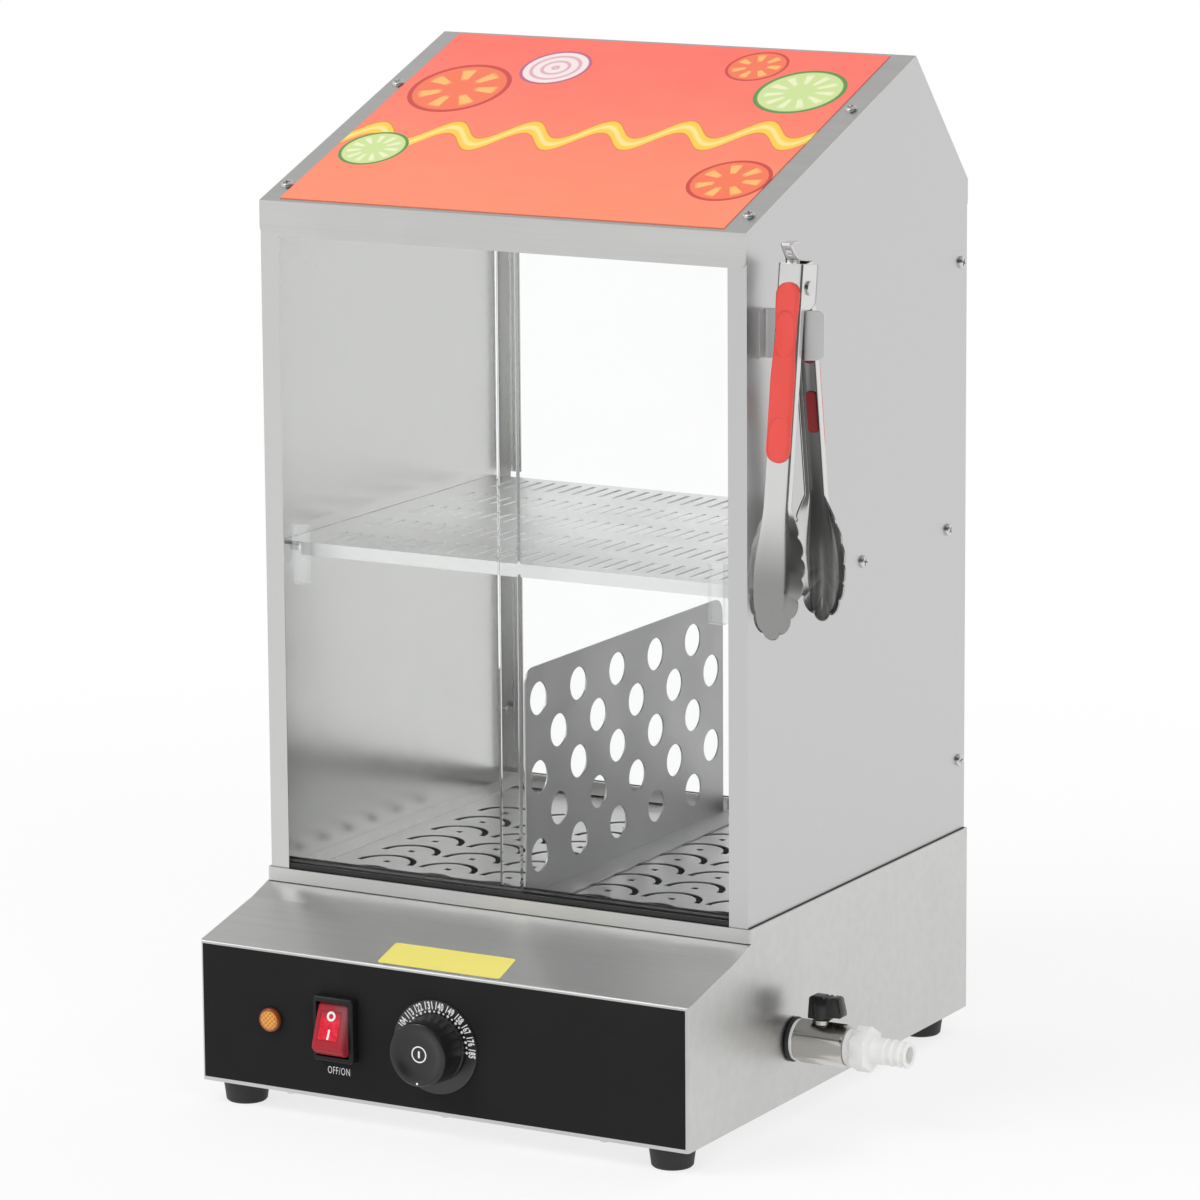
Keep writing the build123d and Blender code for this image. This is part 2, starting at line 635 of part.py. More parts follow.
def control_overlay():
    """Printed skin of the control panel."""
    x = BASE_HALF - OVERLAY_MARGIN_SIDE
    z_range = (-BASE_HEIGHT + OVERLAY_MARGIN_BOTTOM, -CONSOLE_LIP_DROP - OVERLAY_MARGIN_TOP)
    skin = block((-x, x), (OVERLAY_FACE, PANEL_FACE), z_range)
    reach = (OVERLAY_FACE - SHEET, PANEL_FACE + SHEET)
    skin -= rod_y(LAMP_BARREL_RADIUS, reach, LAMP_X, -LAMP_DROP)
    skin -= rod_y(BUSH_RADIUS, reach, DIAL_X, -DIAL_DROP)
    skin -= switch_cutout(reach)
    return skin


def revolve_y(points, x, z):
    """Turned piece about a line along Y, from (radius, y) points."""
    face = make_face(Polyline(*[(r, y) for r, y in points], close=True))
    return Pos(x, 0, z) * revolve(face, Axis.Y)


def lamp_housing():
    """Barrel and rim of the heating lamp."""
    back = PANEL_FACE + LAMP_BARREL_LENGTH
    front = OVERLAY_FACE - LAMP_RIM_THICKNESS
    points = [
        (0, front), (LAMP_RIM_RADIUS, front), (LAMP_RIM_RADIUS, OVERLAY_FACE),
        (LAMP_BARREL_RADIUS, OVERLAY_FACE), (LAMP_BARREL_RADIUS, back), (0, back),
    ]
    return revolve_y(points, LAMP_X, -LAMP_DROP)


def lamp_lens():
    """Faceless amber lens; its facets belong to the finish."""
    back = OVERLAY_FACE - LAMP_RIM_THICKNESS
    front = back - LENS_HEIGHT
    points = [
        (0, back), (LAMP_RIM_RADIUS, back), (LAMP_RIM_RADIUS, back - LENS_STEP),
        (LENS_FRONT_RADIUS, back - LENS_STEP), (LENS_FRONT_RADIUS, front + LENS_STEP),
        (LENS_FRONT_RADIUS - LENS_STEP, front), (0, front),
    ]
    return revolve_y(points, LAMP_X, -LAMP_DROP)


def switch_housing():
    """Bezel and box of the rocker switch, open to the front."""
    front = OVERLAY_FACE - SWITCH_BEZEL_PROUD
    back = PANEL_FACE + SWITCH_DEPTH
    half_x = ROCKER_WIDTH / 2 + FIT_GAP
    half_z = ROCKER_RADIUS + FIT_GAP
    bezel = block(
        (SWITCH_X - SWITCH_BEZEL_WIDTH / 2, SWITCH_X + SWITCH_BEZEL_WIDTH / 2),
        (front, OVERLAY_FACE),
        (-SWITCH_DROP - SWITCH_BEZEL_HEIGHT / 2, -SWITCH_DROP + SWITCH_BEZEL_HEIGHT / 2),
    )
    bezel = fillet(bezel.edges().filter_by(Axis.Y), SWITCH_CORNER)
    bezel = chamfer(bezel.edges().group_by(Axis.Y)[0], SWITCH_EDGE)
    housing = bezel + switch_cutout((OVERLAY_FACE, back))
    well_back = ROCKER_AXIS_Y + ROCKER_RADIUS + FIT_GAP
    well_z = (-SWITCH_DROP - half_z, -SWITCH_DROP + half_z)
    housing -= block((SWITCH_X - half_x, SWITCH_X + half_x), (front, well_back), well_z)
    pin = ROCKER_PIN_RADIUS + RUNNING_GAP
    reach = half_x + SWITCH_WALL
    housing -= rod_x(pin, (SWITCH_X - reach, SWITCH_X + reach), ROCKER_AXIS_Y, -SWITCH_DROP)
    return housing


def switch_rocker():
    """Translucent rocker with its two pivot pins, tilted to its off position."""
    disc = Circle(ROCKER_RADIUS)
    band = Pos((ROCKER_BACK - ROCKER_FACE) / 2, 0) * Rectangle(ROCKER_FACE + ROCKER_BACK, 4 * ROCKER_RADIUS)
    hollow = Pos(-ROCKER_FACE - ROCKER_HOLLOW_RADIUS + ROCKER_HOLLOW_DEPTH, 0) * Circle(ROCKER_HOLLOW_RADIUS)
    section = disc & band
    section -= hollow
    half = ROCKER_WIDTH / 2
    rocker = Plane.YZ.offset(-half) * extrude(section, ROCKER_WIDTH)
    pin_reach = half + FIT_GAP + SWITCH_WALL - HOLE_GAP
    rocker += rod_x(ROCKER_PIN_RADIUS, (-pin_reach, pin_reach), 0, 0)
    return Pos(SWITCH_X, ROCKER_AXIS_Y, -SWITCH_DROP) * Rot(-ROCKER_TILT, 0, 0) * rocker


def dial_ring():
    """Scale ring behind the knob."""
    edge = DIAL_RADIUS - DIAL_BEVEL
    points = [
        (BUSH_RADIUS, OVERLAY_FACE), (DIAL_RADIUS, OVERLAY_FACE), (edge, DIAL_FACE), (BUSH_RADIUS, DIAL_FACE),
    ]
    return revolve_y(points, DIAL_X, -DIAL_DROP)


def control_knob():
    """Skirted knob with a dished face and a pointer on its skirt."""
    back = DIAL_FACE - KNOB_LIFT
    skirt_front = back - KNOB_SKIRT_THICKNESS
    points = [
        (0, back), (KNOB_SKIRT_RADIUS, back), (KNOB_SKIRT_RADIUS - KNOB_EDGE / 2, skirt_front),
        (KNOB_RADIUS, skirt_front), (KNOB_FRONT_RADIUS, KNOB_FRONT + KNOB_EDGE),
        (KNOB_FRONT_RADIUS - KNOB_EDGE, KNOB_FRONT), (KNOB_DISH_RADIUS, KNOB_FRONT),
        (KNOB_DISH_FLOOR_RADIUS, KNOB_FRONT + KNOB_DISH_DEPTH), (0, KNOB_FRONT + KNOB_DISH_DEPTH),
    ]
    knob = revolve_y(points, DIAL_X, -DIAL_DROP)
    knob -= rod_y(SHAFT_RADIUS, (shaft_end(), back), DIAL_X, -DIAL_DROP)
    foot = -KNOB_FRONT_RADIUS
    corners = [(-POINTER_HALF_WIDTH, foot), (POINTER_HALF_WIDTH, foot), (0, -KNOB_SKIRT_RADIUS)]
    pointer = Pos(DIAL_X, -DIAL_DROP) * make_face(Polyline(*corners, close=True))
    return knob + extrude(Plane.XZ.offset(-skirt_front) * pointer, POINTER_HEIGHT, dir=(0, -1, 0))


def shaft_end():
    """Front end of the spindle, inside the knob."""
    return KNOB_FRONT + KNOB_DISH_DEPTH + KNOB_WALL


def thermostat_shaft():
    """Spindle that carries the knob."""
    return rod_y(SHAFT_RADIUS, (shaft_end(), PANEL_FACE + SHEET + THERMOSTAT_DEPTH / 2), DIAL_X, -DIAL_DROP)


def thermostat_body():
    """Thermostat case behind the panel, with the bush that its spindle turns in."""
    back = PANEL_FACE + SHEET
    outline = RectangleRounded(THERMOSTAT_WIDTH, THERMOSTAT_HEIGHT, THERMOSTAT_CORNER)
    outline = Plane.XZ.offset(-back) * Pos(DIAL_X, -DIAL_DROP) * outline
    case = extrude(outline, THERMOSTAT_DEPTH, dir=(0, 1, 0))
    case += rod_y(BUSH_RADIUS, (DIAL_FACE, back), DIAL_X, -DIAL_DROP)
    shaft_back = back + THERMOSTAT_DEPTH / 2 + FIT_GAP
    return case - rod_y(SHAFT_RADIUS + RUNNING_GAP, (DIAL_FACE, shaft_back), DIAL_X, -DIAL_DROP)


# ---------------------------------------------------------------- drain valve and cable

def valve_gasket():
    """Rubber ring against the base's side."""
    x_range = (GASKET_X, WASHER_X)
    ring = rod_x(GASKET_RADIUS, x_range, VALVE_Y, -VALVE_DROP)
    ring = chamfer(ring.edges(), GASKET_CHAMFER)
    return ring - rod_x(VALVE_STUB_RADIUS, x_range, VALVE_Y, -VALVE_DROP)


def valve_washer():
    """Plain washer between gasket and valve."""
    x_range = (WASHER_X, HEX_X)
    ring = rod_x(WASHER_RADIUS, x_range, VALVE_Y, -VALVE_DROP)
    return ring - rod_x(VALVE_STUB_RADIUS, x_range, VALVE_Y, -VALVE_DROP)


def valve_body():
    """Hexagonal ball-valve body with its threaded stub, ball seat, stem boss and outlet."""
    y, z = VALVE_Y, -VALVE_DROP
    body = hex_x(VALVE_HEX, (HEX_X, OUTLET_X), y, z)
    body &= rod_x(VALVE_HEX * 0.565, (HEX_X, OUTLET_X), y, z)
    body += rod_x(VALVE_STUB_RADIUS, (STUB_START, HEX_X), y, z)
    body += rod_z(GLAND_BOSS_RADIUS, (z, BOSS_TOP), BALL_X, y)
    body -= rod_x(VALVE_PORT_RADIUS, (STUB_START, OUTLET_X), y, z)
    body -= rod_x(VALVE_OUTLET_RADIUS, (OUTLET_X - VALVE_OUTLET_DEPTH, OUTLET_X), y, z)
    body -= Pos(BALL_X, y, z) * Sphere(VALVE_BALL_RADIUS + RUNNING_GAP)
    return body - rod_z(STEM_RADIUS + RUNNING_GAP, (z, BOSS_TOP), BALL_X, y)


def valve_ball():
    """Ported ball, open along the pipe."""
    y, z = VALVE_Y, -VALVE_DROP
    ball = Pos(BALL_X, y, z) * Sphere(VALVE_BALL_RADIUS)
    ball -= rod_x(VALVE_PORT_RADIUS, (BALL_X - VALVE_BALL_RADIUS, BALL_X + VALVE_BALL_RADIUS), y, z)
    return ball - rod_z(STEM_RADIUS, (z + stem_foot(), z + VALVE_BALL_RADIUS), BALL_X, y)


def stem_foot():
    """Foot of the stem above the ball's centre."""
    return VALVE_PORT_RADIUS + 1.0


def valve_stem():
    """Stem from the ball to the handle."""
    return rod_z(STEM_RADIUS, (-VALVE_DROP + stem_foot(), HANDLE_FOOT + HANDLE_HEIGHT / 2), BALL_X, VALVE_Y)


def valve_handle():
    """Wedge-shaped lever with a round hub over the stem."""
    x_low = BALL_X - HANDLE_LEAD
    x_high = x_low + HANDLE_LENGTH
    half = HANDLE_WIDTH / 2
    top = HANDLE_FOOT + HANDLE_HEIGHT
    foot = Pos((x_low + x_high) / 2, VALVE_Y, HANDLE_FOOT) * Rectangle(HANDLE_LENGTH, HANDLE_WIDTH)
    lever = extrude(foot, HANDLE_HEIGHT, taper=HANDLE_TAPER)
    lever = fillet(lever.edges().filter_by(Axis.Y).group_by(Axis.Z)[-1], HANDLE_EDGE)
    lever += rod_z(HANDLE_HUB_RADIUS, (HANDLE_FOOT, top - SHEET), BALL_X, VALVE_Y)
    relief_x = (BALL_X + HANDLE_HUB_RADIUS, x_high)
    lever -= block(relief_x, (VALVE_Y - half, VALVE_Y + half), (HANDLE_FOOT, HANDLE_FOOT + HANDLE_RELIEF))
    return lever - rod_z(STEM_RADIUS, (HANDLE_FOOT, HANDLE_FOOT + HANDLE_HEIGHT / 2), BALL_X, VALVE_Y)


def valve_lock_nut():
    """Nut that clamps the stub inside the tank."""
    x_range = (TANK_HALF - LOCK_NUT_THICKNESS, TANK_HALF)
    nut = hex_x(LOCK_NUT_HEX, x_range, VALVE_Y, -VALVE_DROP)
    return nut - rod_x(VALVE_STUB_RADIUS, x_range, VALVE_Y, -VALVE_DROP)


def hose_barb():
    """Nylon hose tail: spigot, collar, hexagon and ridged tube."""
    y, z = VALVE_Y, -VALVE_DROP
    hex_start = OUTLET_X + BARB_COLLAR
    tube_start = hex_start + BARB_HEX_LENGTH
    spigot_start = OUTLET_X - VALVE_OUTLET_DEPTH
    ridge_pitch = (BARB_LENGTH - BARB_LAND_LENGTH) / BARB_GROOVES
    points = [
        (0, spigot_start), (VALVE_OUTLET_RADIUS, spigot_start), (VALVE_OUTLET_RADIUS, OUTLET_X),
        (BARB_COLLAR_RADIUS, OUTLET_X), (BARB_COLLAR_RADIUS, hex_start), (BARB_LAND_RADIUS, hex_start),
    ]
    for i in range(BARB_GROOVES):
        crest = tube_start + BARB_LAND_LENGTH + i * ridge_pitch
        points.append((BARB_LAND_RADIUS, crest))
        points.append((BARB_GROOVE_RADIUS, crest + BARB_GROOVE_STEP))
        points.append((BARB_GROOVE_RADIUS, crest + 2 * BARB_GROOVE_STEP))
        points.append((BARB_LAND_RADIUS, crest + ridge_pitch - BARB_GROOVE_STEP))
    points.append((BARB_GROOVE_RADIUS, VALVE_END))
    points.append((0, VALVE_END))
    face = make_face(Polyline(*[(x, r) for r, x in points], close=True))
    barb = Pos(0, y, z) * revolve(face, Axis.X)
    barb += hex_x(BARB_HEX, (hex_start, tube_start), y, z)
    return barb - rod_x(BARB_BORE_RADIUS, (OUTLET_X - VALVE_OUTLET_DEPTH, VALVE_END), y, z)


def cable_gland():
    """Gland that the mains cable comes through, with its nut inside the base."""
    inner = BASE_REAR - SHEET - CABLE_NUT_THICKNESS
    hex_end = BASE_REAR + CABLE_GLAND_HEX_LENGTH
    outline = Pos(CABLE_X, -CABLE_DROP) * RegularPolygon(CABLE_GLAND_HEX / 2, 6, major_radius=False)
    body = extrude(Plane.XZ.offset(-BASE_REAR) * outline, CABLE_GLAND_HEX_LENGTH, dir=(0, 1, 0))
    body += extrude(Plane.XZ.offset(-inner) * outline, CABLE_NUT_THICKNESS, dir=(0, 1, 0))
    body += rod_y(CABLE_GLAND_RADIUS, (inner, hex_end), CABLE_X, -CABLE_DROP)
    dome = rod_y(CABLE_DOME_RADIUS, (hex_end, CABLE_END), CABLE_X, -CABLE_DROP)
    body += chamfer(dome.edges().group_by(Axis.Y)[-1], CABLE_DOME_CHAMFER)
    return body - rod_y(CABLE_BORE_RADIUS, (inner, CABLE_END), CABLE_X, -CABLE_DROP)


def terminal_block():
    """Row of screw terminals on the bottom plate."""
    floor = -BASE_HEIGHT + SHEET
    y_middle = BASE_REAR - BASE_LIP - 2 * TERMINAL_WIDTH
    x_range = (CABLE_X - TERMINAL_LENGTH / 2, CABLE_X + TERMINAL_LENGTH / 2)
    half = TERMINAL_WIDTH / 2
    step = floor + TERMINAL_HEIGHT / 2
    top = floor + TERMINAL_HEIGHT
    side = [
        (y_middle - half, floor), (y_middle + half, floor), (y_middle + half, step),
        (y_middle + half / 2, top), (y_middle - half / 2, top), (y_middle - half, step),
    ]
    strip = prism_x(side, x_range)
    pitch = TERMINAL_LENGTH / TERMINAL_WAYS
    for i in range(1, TERMINAL_WAYS):
        x = x_range[0] + i * pitch
        strip -= block((x - SHEET, x + SHEET), (y_middle - half, y_middle + half), (step, top))
    return strip


# ---------------------------------------------------------------- cabinet

def gable(grow=0.0, foot=0.0):
    """Five-sided outline of the cabinet's side in (y, z), grown or shrunk all round."""
    corners = [
        (0, foot), (0, FRONT_HEIGHT), (RIDGE_SETBACK, RIDGE_HEIGHT),
        (CABINET_DEPTH, REAR_HEIGHT), (CABINET_DEPTH, foot),
    ]
    outline = make_face(Polyline(*corners, close=True))
    return offset(outline, amount=grow, kind=Kind.INTERSECTION) if grow else outline


def bottom_frame():
    """Band round the cabinet's foot: an outer wall and an inward ledge that the cabinet stands on."""
    outer = block((-BASE_HALF, BASE_HALF), (-BAND_FRONT_PROUD, BASE_REAR), (0, BAND_HEIGHT))
    outer = fillet(outer.edges().filter_by(Axis.Z), CONSOLE_BEND)
    inner_x = BASE_HALF - BAND_WALL
    frame = outer - block(
        (-inner_x, inner_x), (-BAND_FRONT_PROUD + BAND_WALL, BASE_REAR - BAND_WALL), (SHEET, BAND_HEIGHT)
    )
    front = TANK_LENGTH_FRONT - SHEET - TANK_RIM - FIT_GAP
    rear = TANK_LENGTH_REAR + SHEET + TANK_RIM + FIT_GAP
    half = TANK_HALF + SHEET + TANK_RIM + FIT_GAP
    return frame - block((-half, half), (front, rear), (0, SHEET))


def right_side_panel():
    """Right side sheet folded in all round, with a notch in its rear flange beside the shelf."""
    foot = SHEET
    tray = Plane.YZ.offset(HALF_WIDTH - STILE_WIDTH) * extrude(gable(0, foot), STILE_WIDTH)
    tray -= Plane.YZ.offset(HALF_WIDTH - STILE_WIDTH) * extrude(gable(-SHEET, foot), STILE_WIDTH - SHEET)
    sill = HALF_WIDTH - SILL_WIDTH
    stile = HALF_WIDTH - STILE_WIDTH
    tray -= block((stile, sill), (SHEET, CABINET_DEPTH - SHEET), (foot, foot + SHEET))
    notch = (SHELF_TOP - SHELF_RAIL_HEIGHT, SHELF_TOP + FIT_GAP)
    tray -= block((stile, stile + STILE_WIDTH / 2), (CABINET_DEPTH - SHEET, CABINET_DEPTH), notch)
    for y, z in side_screw_places():
        tray -= rod_x(SCREW_SHANK_RADIUS, (HALF_WIDTH - SHEET, HALF_WIDTH), y, z)
    for x, along in roof_screw_places():
        tray -= on_slope(0, x, along) * Cylinder(SCREW_SHANK_RADIUS, 4 * SHEET)
    return tray


def side_screw_places():
    """(y, z) of the screws in one side panel."""
    rail_z = SHELF_TOP - RAIL_SCREW_DROP
    places = [(RAIL_SCREW_FIRST + i * RAIL_SCREW_PITCH, rail_z) for i in range(3)]
    places.append((CABINET_DEPTH - REAR_SCREW_INSET, REAR_SCREW_LOW))
    places.append((CABINET_DEPTH - REAR_SCREW_INSET, REAR_SCREW_HIGH))
    return places


def roof_cover():
    """One folded sheet: front rail, slope, ridge, rear slope and rear turn-down."""
    section = gable(SHEET) - gable()
    below = Rectangle(CABINET_DEPTH, FRONT_HEIGHT, align=(Align.CENTER, Align.MAX))
    section -= Pos(0, RAIL_FOOT) * below
    section -= Pos(CABINET_DEPTH, REAR_RAIL_FOOT) * below
    cover = Plane.YZ.offset(-HALF_WIDTH) * extrude(section, CABINET_WIDTH)
    middle = CABINET_DEPTH / 2
    turned = [edge for edge in cover.edges().filter_by(Axis.Y) if edge.length < 2 * SHEET]
    front = ShapeList([edge for edge in turned if edge.center().Y < middle]).group_by(Axis.Z)[0]
    rear = ShapeList([edge for edge in turned if edge.center().Y > middle]).group_by(Axis.Z)[0]
    cover = fillet(front + rear, RAIL_CORNER)
    for x, along in roof_screw_places():
        cover -= on_slope(SHEET, x, along) * Cylinder(SCREW_SHANK_RADIUS, 4 * SHEET)
    return cover


def on_slope(rise, x, along):
    """Frame on the front slope: X across, Y up the slope, Z outwards, rise above the cabinet's gable."""
    start = Pos(x, 0, FRONT_HEIGHT) * Rot(SLOPE_ANGLE, 0, 0)
    return start * Pos(0, along, rise)


def roof_screw_places():
    """(x, distance up the slope) of the roof screws."""
    x = HALF_WIDTH - ROOF_SCREW_INSET
    return [(side * x, along) for side in (-1, 1) for along in (ROOF_SCREW_LOW, ROOF_SCREW_HIGH)]


def cabinet_screws():
    """Screws of the roof and of both sides."""
    screw = pan_screw()
    screws = [on_slope(SHEET, x, along) * screw for x, along in roof_screw_places()]
    right = Rot(0, 90, 0) * screw
    left = Rot(0, -90, 0) * screw
    for y, z in side_screw_places():
        screws.append(Pos(HALF_WIDTH, y, z) * right)
        screws.append(Pos(-HALF_WIDTH, y, z) * left)
    return Compound(children=screws)


def poster_panel():
    """Thin printed sheet on the front slope."""
    length = SLOPE_LENGTH - POSTER_START - POSTER_END_GAP
    width = CABINET_WIDTH - POSTER_MARGIN_LEFT - POSTER_MARGIN_RIGHT
    sheet = Box(width, length, POSTER_THICKNESS, align=Align.MIN)
    return on_slope(SHEET, POSTER_MARGIN_LEFT - HALF_WIDTH, POSTER_START) * sheet


# ---------------------------------------------------------------- glazing

def track_section(height, floor):
    """(y, z) section of a two-groove track with its floor at the bottom."""
    section = Pos(TRACK_DEPTH / 2, height / 2) * Rectangle(TRACK_DEPTH, height)
    groove = Rectangle(TRACK_GROOVE, height)
    first = TRACK_WALL + TRACK_GROOVE / 2
    for y in (first, first + DOOR_PITCH):
        section -= Pos(y, height / 2 + floor) * groove
    return section


def lower_door_track():
    """Lower double track, standing on the side panels' sills."""
    half = HALF_WIDTH - SHEET
    section = Pos(SHEET, TRACK_FOOT) * track_section(LOWER_TRACK_HEIGHT, TRACK_FLOOR)
    return Plane.YZ.offset(-half) * extrude(section, 2 * half)


def upper_door_track():
    """Upper double track behind the front rail, grooves down."""
    half = HALF_WIDTH - SHEET
    section = mirror(track_section(UPPER_TRACK_HEIGHT, TRACK_FLOOR), Plane.XZ)
    section = Pos(SHEET, RAIL_FOOT + UPPER_TRACK_HEIGHT) * section
    return Plane.YZ.offset(-half) * extrude(section, 2 * half)


def door_z_range():
    """Foot and top of a door's glass."""
    foot = TRACK_FOOT + TRACK_FLOOR + FIT_GAP
    top = RAIL_FOOT + UPPER_TRACK_HEIGHT - TRACK_FLOOR - TRACK_TOP_CLEARANCE
    return (foot, top)


def door_x_range(side):
    """Edges of the left (-1) or right (1) door's glass when shut."""
    inner = -side * DOOR_OVERLAP / 2
    outer = inner + side * DOOR_WIDTH
    return (min(inner, outer), max(inner, outer))


def door_y(side):
    """Sliding plane of the left or right door."""
    return FRONT_GLASS_Y if side < 0 else REAR_GLASS_Y


def door_glass(side):
    """Sliding glass with ground edges."""
    y = door_y(side)
    pane = block(door_x_range(side), (y - GLASS / 2, y + GLASS / 2), door_z_range())
    return chamfer(pane.edges().filter_by(Axis.Z), 0.4)


def door_pull(side):
    """Clear finger pull with a hollow outer edge."""
    y = door_y(side) - GLASS / 2
    outer = door_x_range(side)[0] if side < 0 else door_x_range(side)[1]
    middle = outer - side * (PULL_INSET + PULL_WIDTH / 2)
    section = Pos(middle, y - PULL_THICKNESS / 2) * Rectangle(PULL_WIDTH, PULL_THICKNESS)
    edge = middle + side * PULL_WIDTH / 2
    hollow_x = edge + side * (PULL_HOLLOW_RADIUS - PULL_HOLLOW_DEPTH)
    section -= Pos(hollow_x, y - PULL_THICKNESS / 2 - PULL_EDGE) * Circle(PULL_HOLLOW_RADIUS)
    return Pos(0, 0, PULL_FOOT) * extrude(section, PULL_HEIGHT)


def rear_glass_y():
    """Rear glass between the rear flanges' inner face and the channels' lips."""
    rear = CABINET_DEPTH - SHEET - REAR_CHANNEL_WALL
    return (rear - GLASS, rear)


def rear_glass():
    """Fixed pane at the rear."""
    half = HALF_WIDTH - REAR_GLASS_SIDE_GAP
    foot = TRACK_FOOT + REAR_CHANNEL_WALL
    top = REAR_RAIL_FOOT + REAR_CHANNEL_HEIGHT - REAR_CHANNEL_WALL
    return block((-half, half), rear_glass_y(), (foot, top))


def rear_channel(foot, opens_up):
    """Folded channel that holds one edge of the rear glass."""
    half = HALF_WIDTH - SHEET
    y_low, y_high = rear_glass_y()
    y_range = (y_low - REAR_CHANNEL_WALL, y_high + REAR_CHANNEL_WALL)
    outer = block((-half, half), y_range, (foot, foot + REAR_CHANNEL_HEIGHT))
    if opens_up:
        z_range = (foot + REAR_CHANNEL_WALL, foot + REAR_CHANNEL_HEIGHT)
    else:
        z_range = (foot, foot + REAR_CHANNEL_HEIGHT - REAR_CHANNEL_WALL)
    return outer - block((-half, half), (y_low, y_high), z_range)


# ---------------------------------------------------------------- inside the cabinet

def shelf():
    """Slotted bun shelf with a turned-down front and rear lip."""
    width = CABINET_WIDTH - 2 * SHEET - 2 * FIT_GAP
    length = SHELF_REAR - SHELF_FRONT
    sheet = Pos(0, SHELF_FRONT + length / 2) * Rectangle(width, length)
    first_x = -(SLOT_COLUMNS - 1) / 2 * SLOT_PITCH
    slot = Rectangle(SLOT_WIDTH, SLOT_LENGTH)
    for i in range(SLOT_COLUMNS):
        x = first_x + i * SLOT_PITCH
        sheet -= [Pos(x, SLOT_FIRST_ROW + j * SLOT_ROW_PITCH) * slot for j in range(SLOT_ROWS)]
    tray = Pos(0, 0, SHELF_TOP - SHEET) * extrude(sheet, SHEET)
    lip_half = width / 2 - SHELF_RAIL_WIDTH - SHEET
    lip_z = (SHELF_TOP - SHELF_LIP, SHELF_TOP - SHEET)
    tray += block((-lip_half, lip_half), (SHELF_FRONT, SHELF_FRONT + SHEET), lip_z)
    return tray + block((-lip_half, lip_half), (SHELF_REAR - SHEET, SHELF_REAR), lip_z)


def right_shelf_rail():
    """Angle screwed to the right side panel under the shelf."""
    top = SHELF_TOP - SHEET - FIT_GAP
    outer = HALF_WIDTH - SHEET
    rail = block((outer - SHEET, outer), (SHELF_FRONT, SHELF_REAR), (top - SHELF_RAIL_HEIGHT, top))
    rail += block((outer - SHELF_RAIL_WIDTH, outer), (SHELF_FRONT, SHELF_REAR), (top - SHEET, top))
    for y, z in side_screw_places()[:3]:
        rail -= rod_x(SCREW_SHANK_RADIUS, (outer - SHEET, outer), y, z)
    return rail


def divider():
    """Upright perforated divider with a foot flange to its right."""
    foot = PLATE_TOP + FIT_GAP
    length = DIVIDER_REAR - DIVIDER_FRONT
    sheet = Pos(DIVIDER_FRONT + length / 2, foot + DIVIDER_HEIGHT / 2) * Rectangle(length, DIVIDER_HEIGHT)
    top_corners = sheet.vertices().group_by(Axis.Y)[-1]
    sheet = fillet(top_corners, DIVIDER_CORNER)
    holes = []
    for row in range(DIVIDER_ROWS):
        shift = DIVIDER_HOLE_PITCH / 2 * (row % 2)
        for i in range(DIVIDER_HOLES):
            y = DIVIDER_FRONT + DIVIDER_FIRST_HOLE + shift + i * DIVIDER_HOLE_PITCH
            z = foot + DIVIDER_FIRST_ROW + row * DIVIDER_ROW_PITCH
            holes.append(Pos(y, z) * Circle(DIVIDER_HOLE_RADIUS))
    sheet -= holes
    wall = Plane.YZ.offset(-SHEET / 2) * extrude(sheet, SHEET)
    return wall + block((SHEET / 2, DIVIDER_FOOT), (DIVIDER_FRONT, DIVIDER_REAR), (foot, foot + SHEET))


def arc_slot():
    """Half-ring slot with a square dot under it, as one sketch."""
    ring = Circle(ARC_RADIUS) - Circle(ARC_RADIUS - ARC_WIDTH)
    ring &= Pos(0, ARC_RADIUS / 2) * Rectangle(2 * ARC_RADIUS, ARC_RADIUS)
    return [ring, Pos(0, DOT_SHIFT) * Rectangle(DOT_SIZE, DOT_SIZE)]


def steam_plate(side):
    """Left (-1) or right (1) floor plate with rows of half-ring steam slots."""
    middle_x = side * (PLATE_WIDTH + PLATE_MIDDLE_GAP) / 2
    length = PLATE_REAR - PLATE_FRONT
    sheet = Pos(middle_x, PLATE_FRONT + length / 2) * RectangleRounded(PLATE_WIDTH, length, PLATE_CORNER)
    first_x = middle_x - (ARC_COLUMNS - 1) / 2 * ARC_COLUMN_PITCH
    slots = []
    for i in range(ARC_COLUMNS):
        for j in range(ARC_ROWS):
            spot = Pos(first_x + i * ARC_COLUMN_PITCH, ARC_FIRST_ROW + j * ARC_ROW_PITCH)
            slots.extend(spot * piece for piece in arc_slot())
    sheet -= slots
    return Pos(0, 0, FLOOR_TOP + FIT_GAP) * extrude(sheet, SHEET - FIT_GAP)


# ---------------------------------------------------------------- tongs

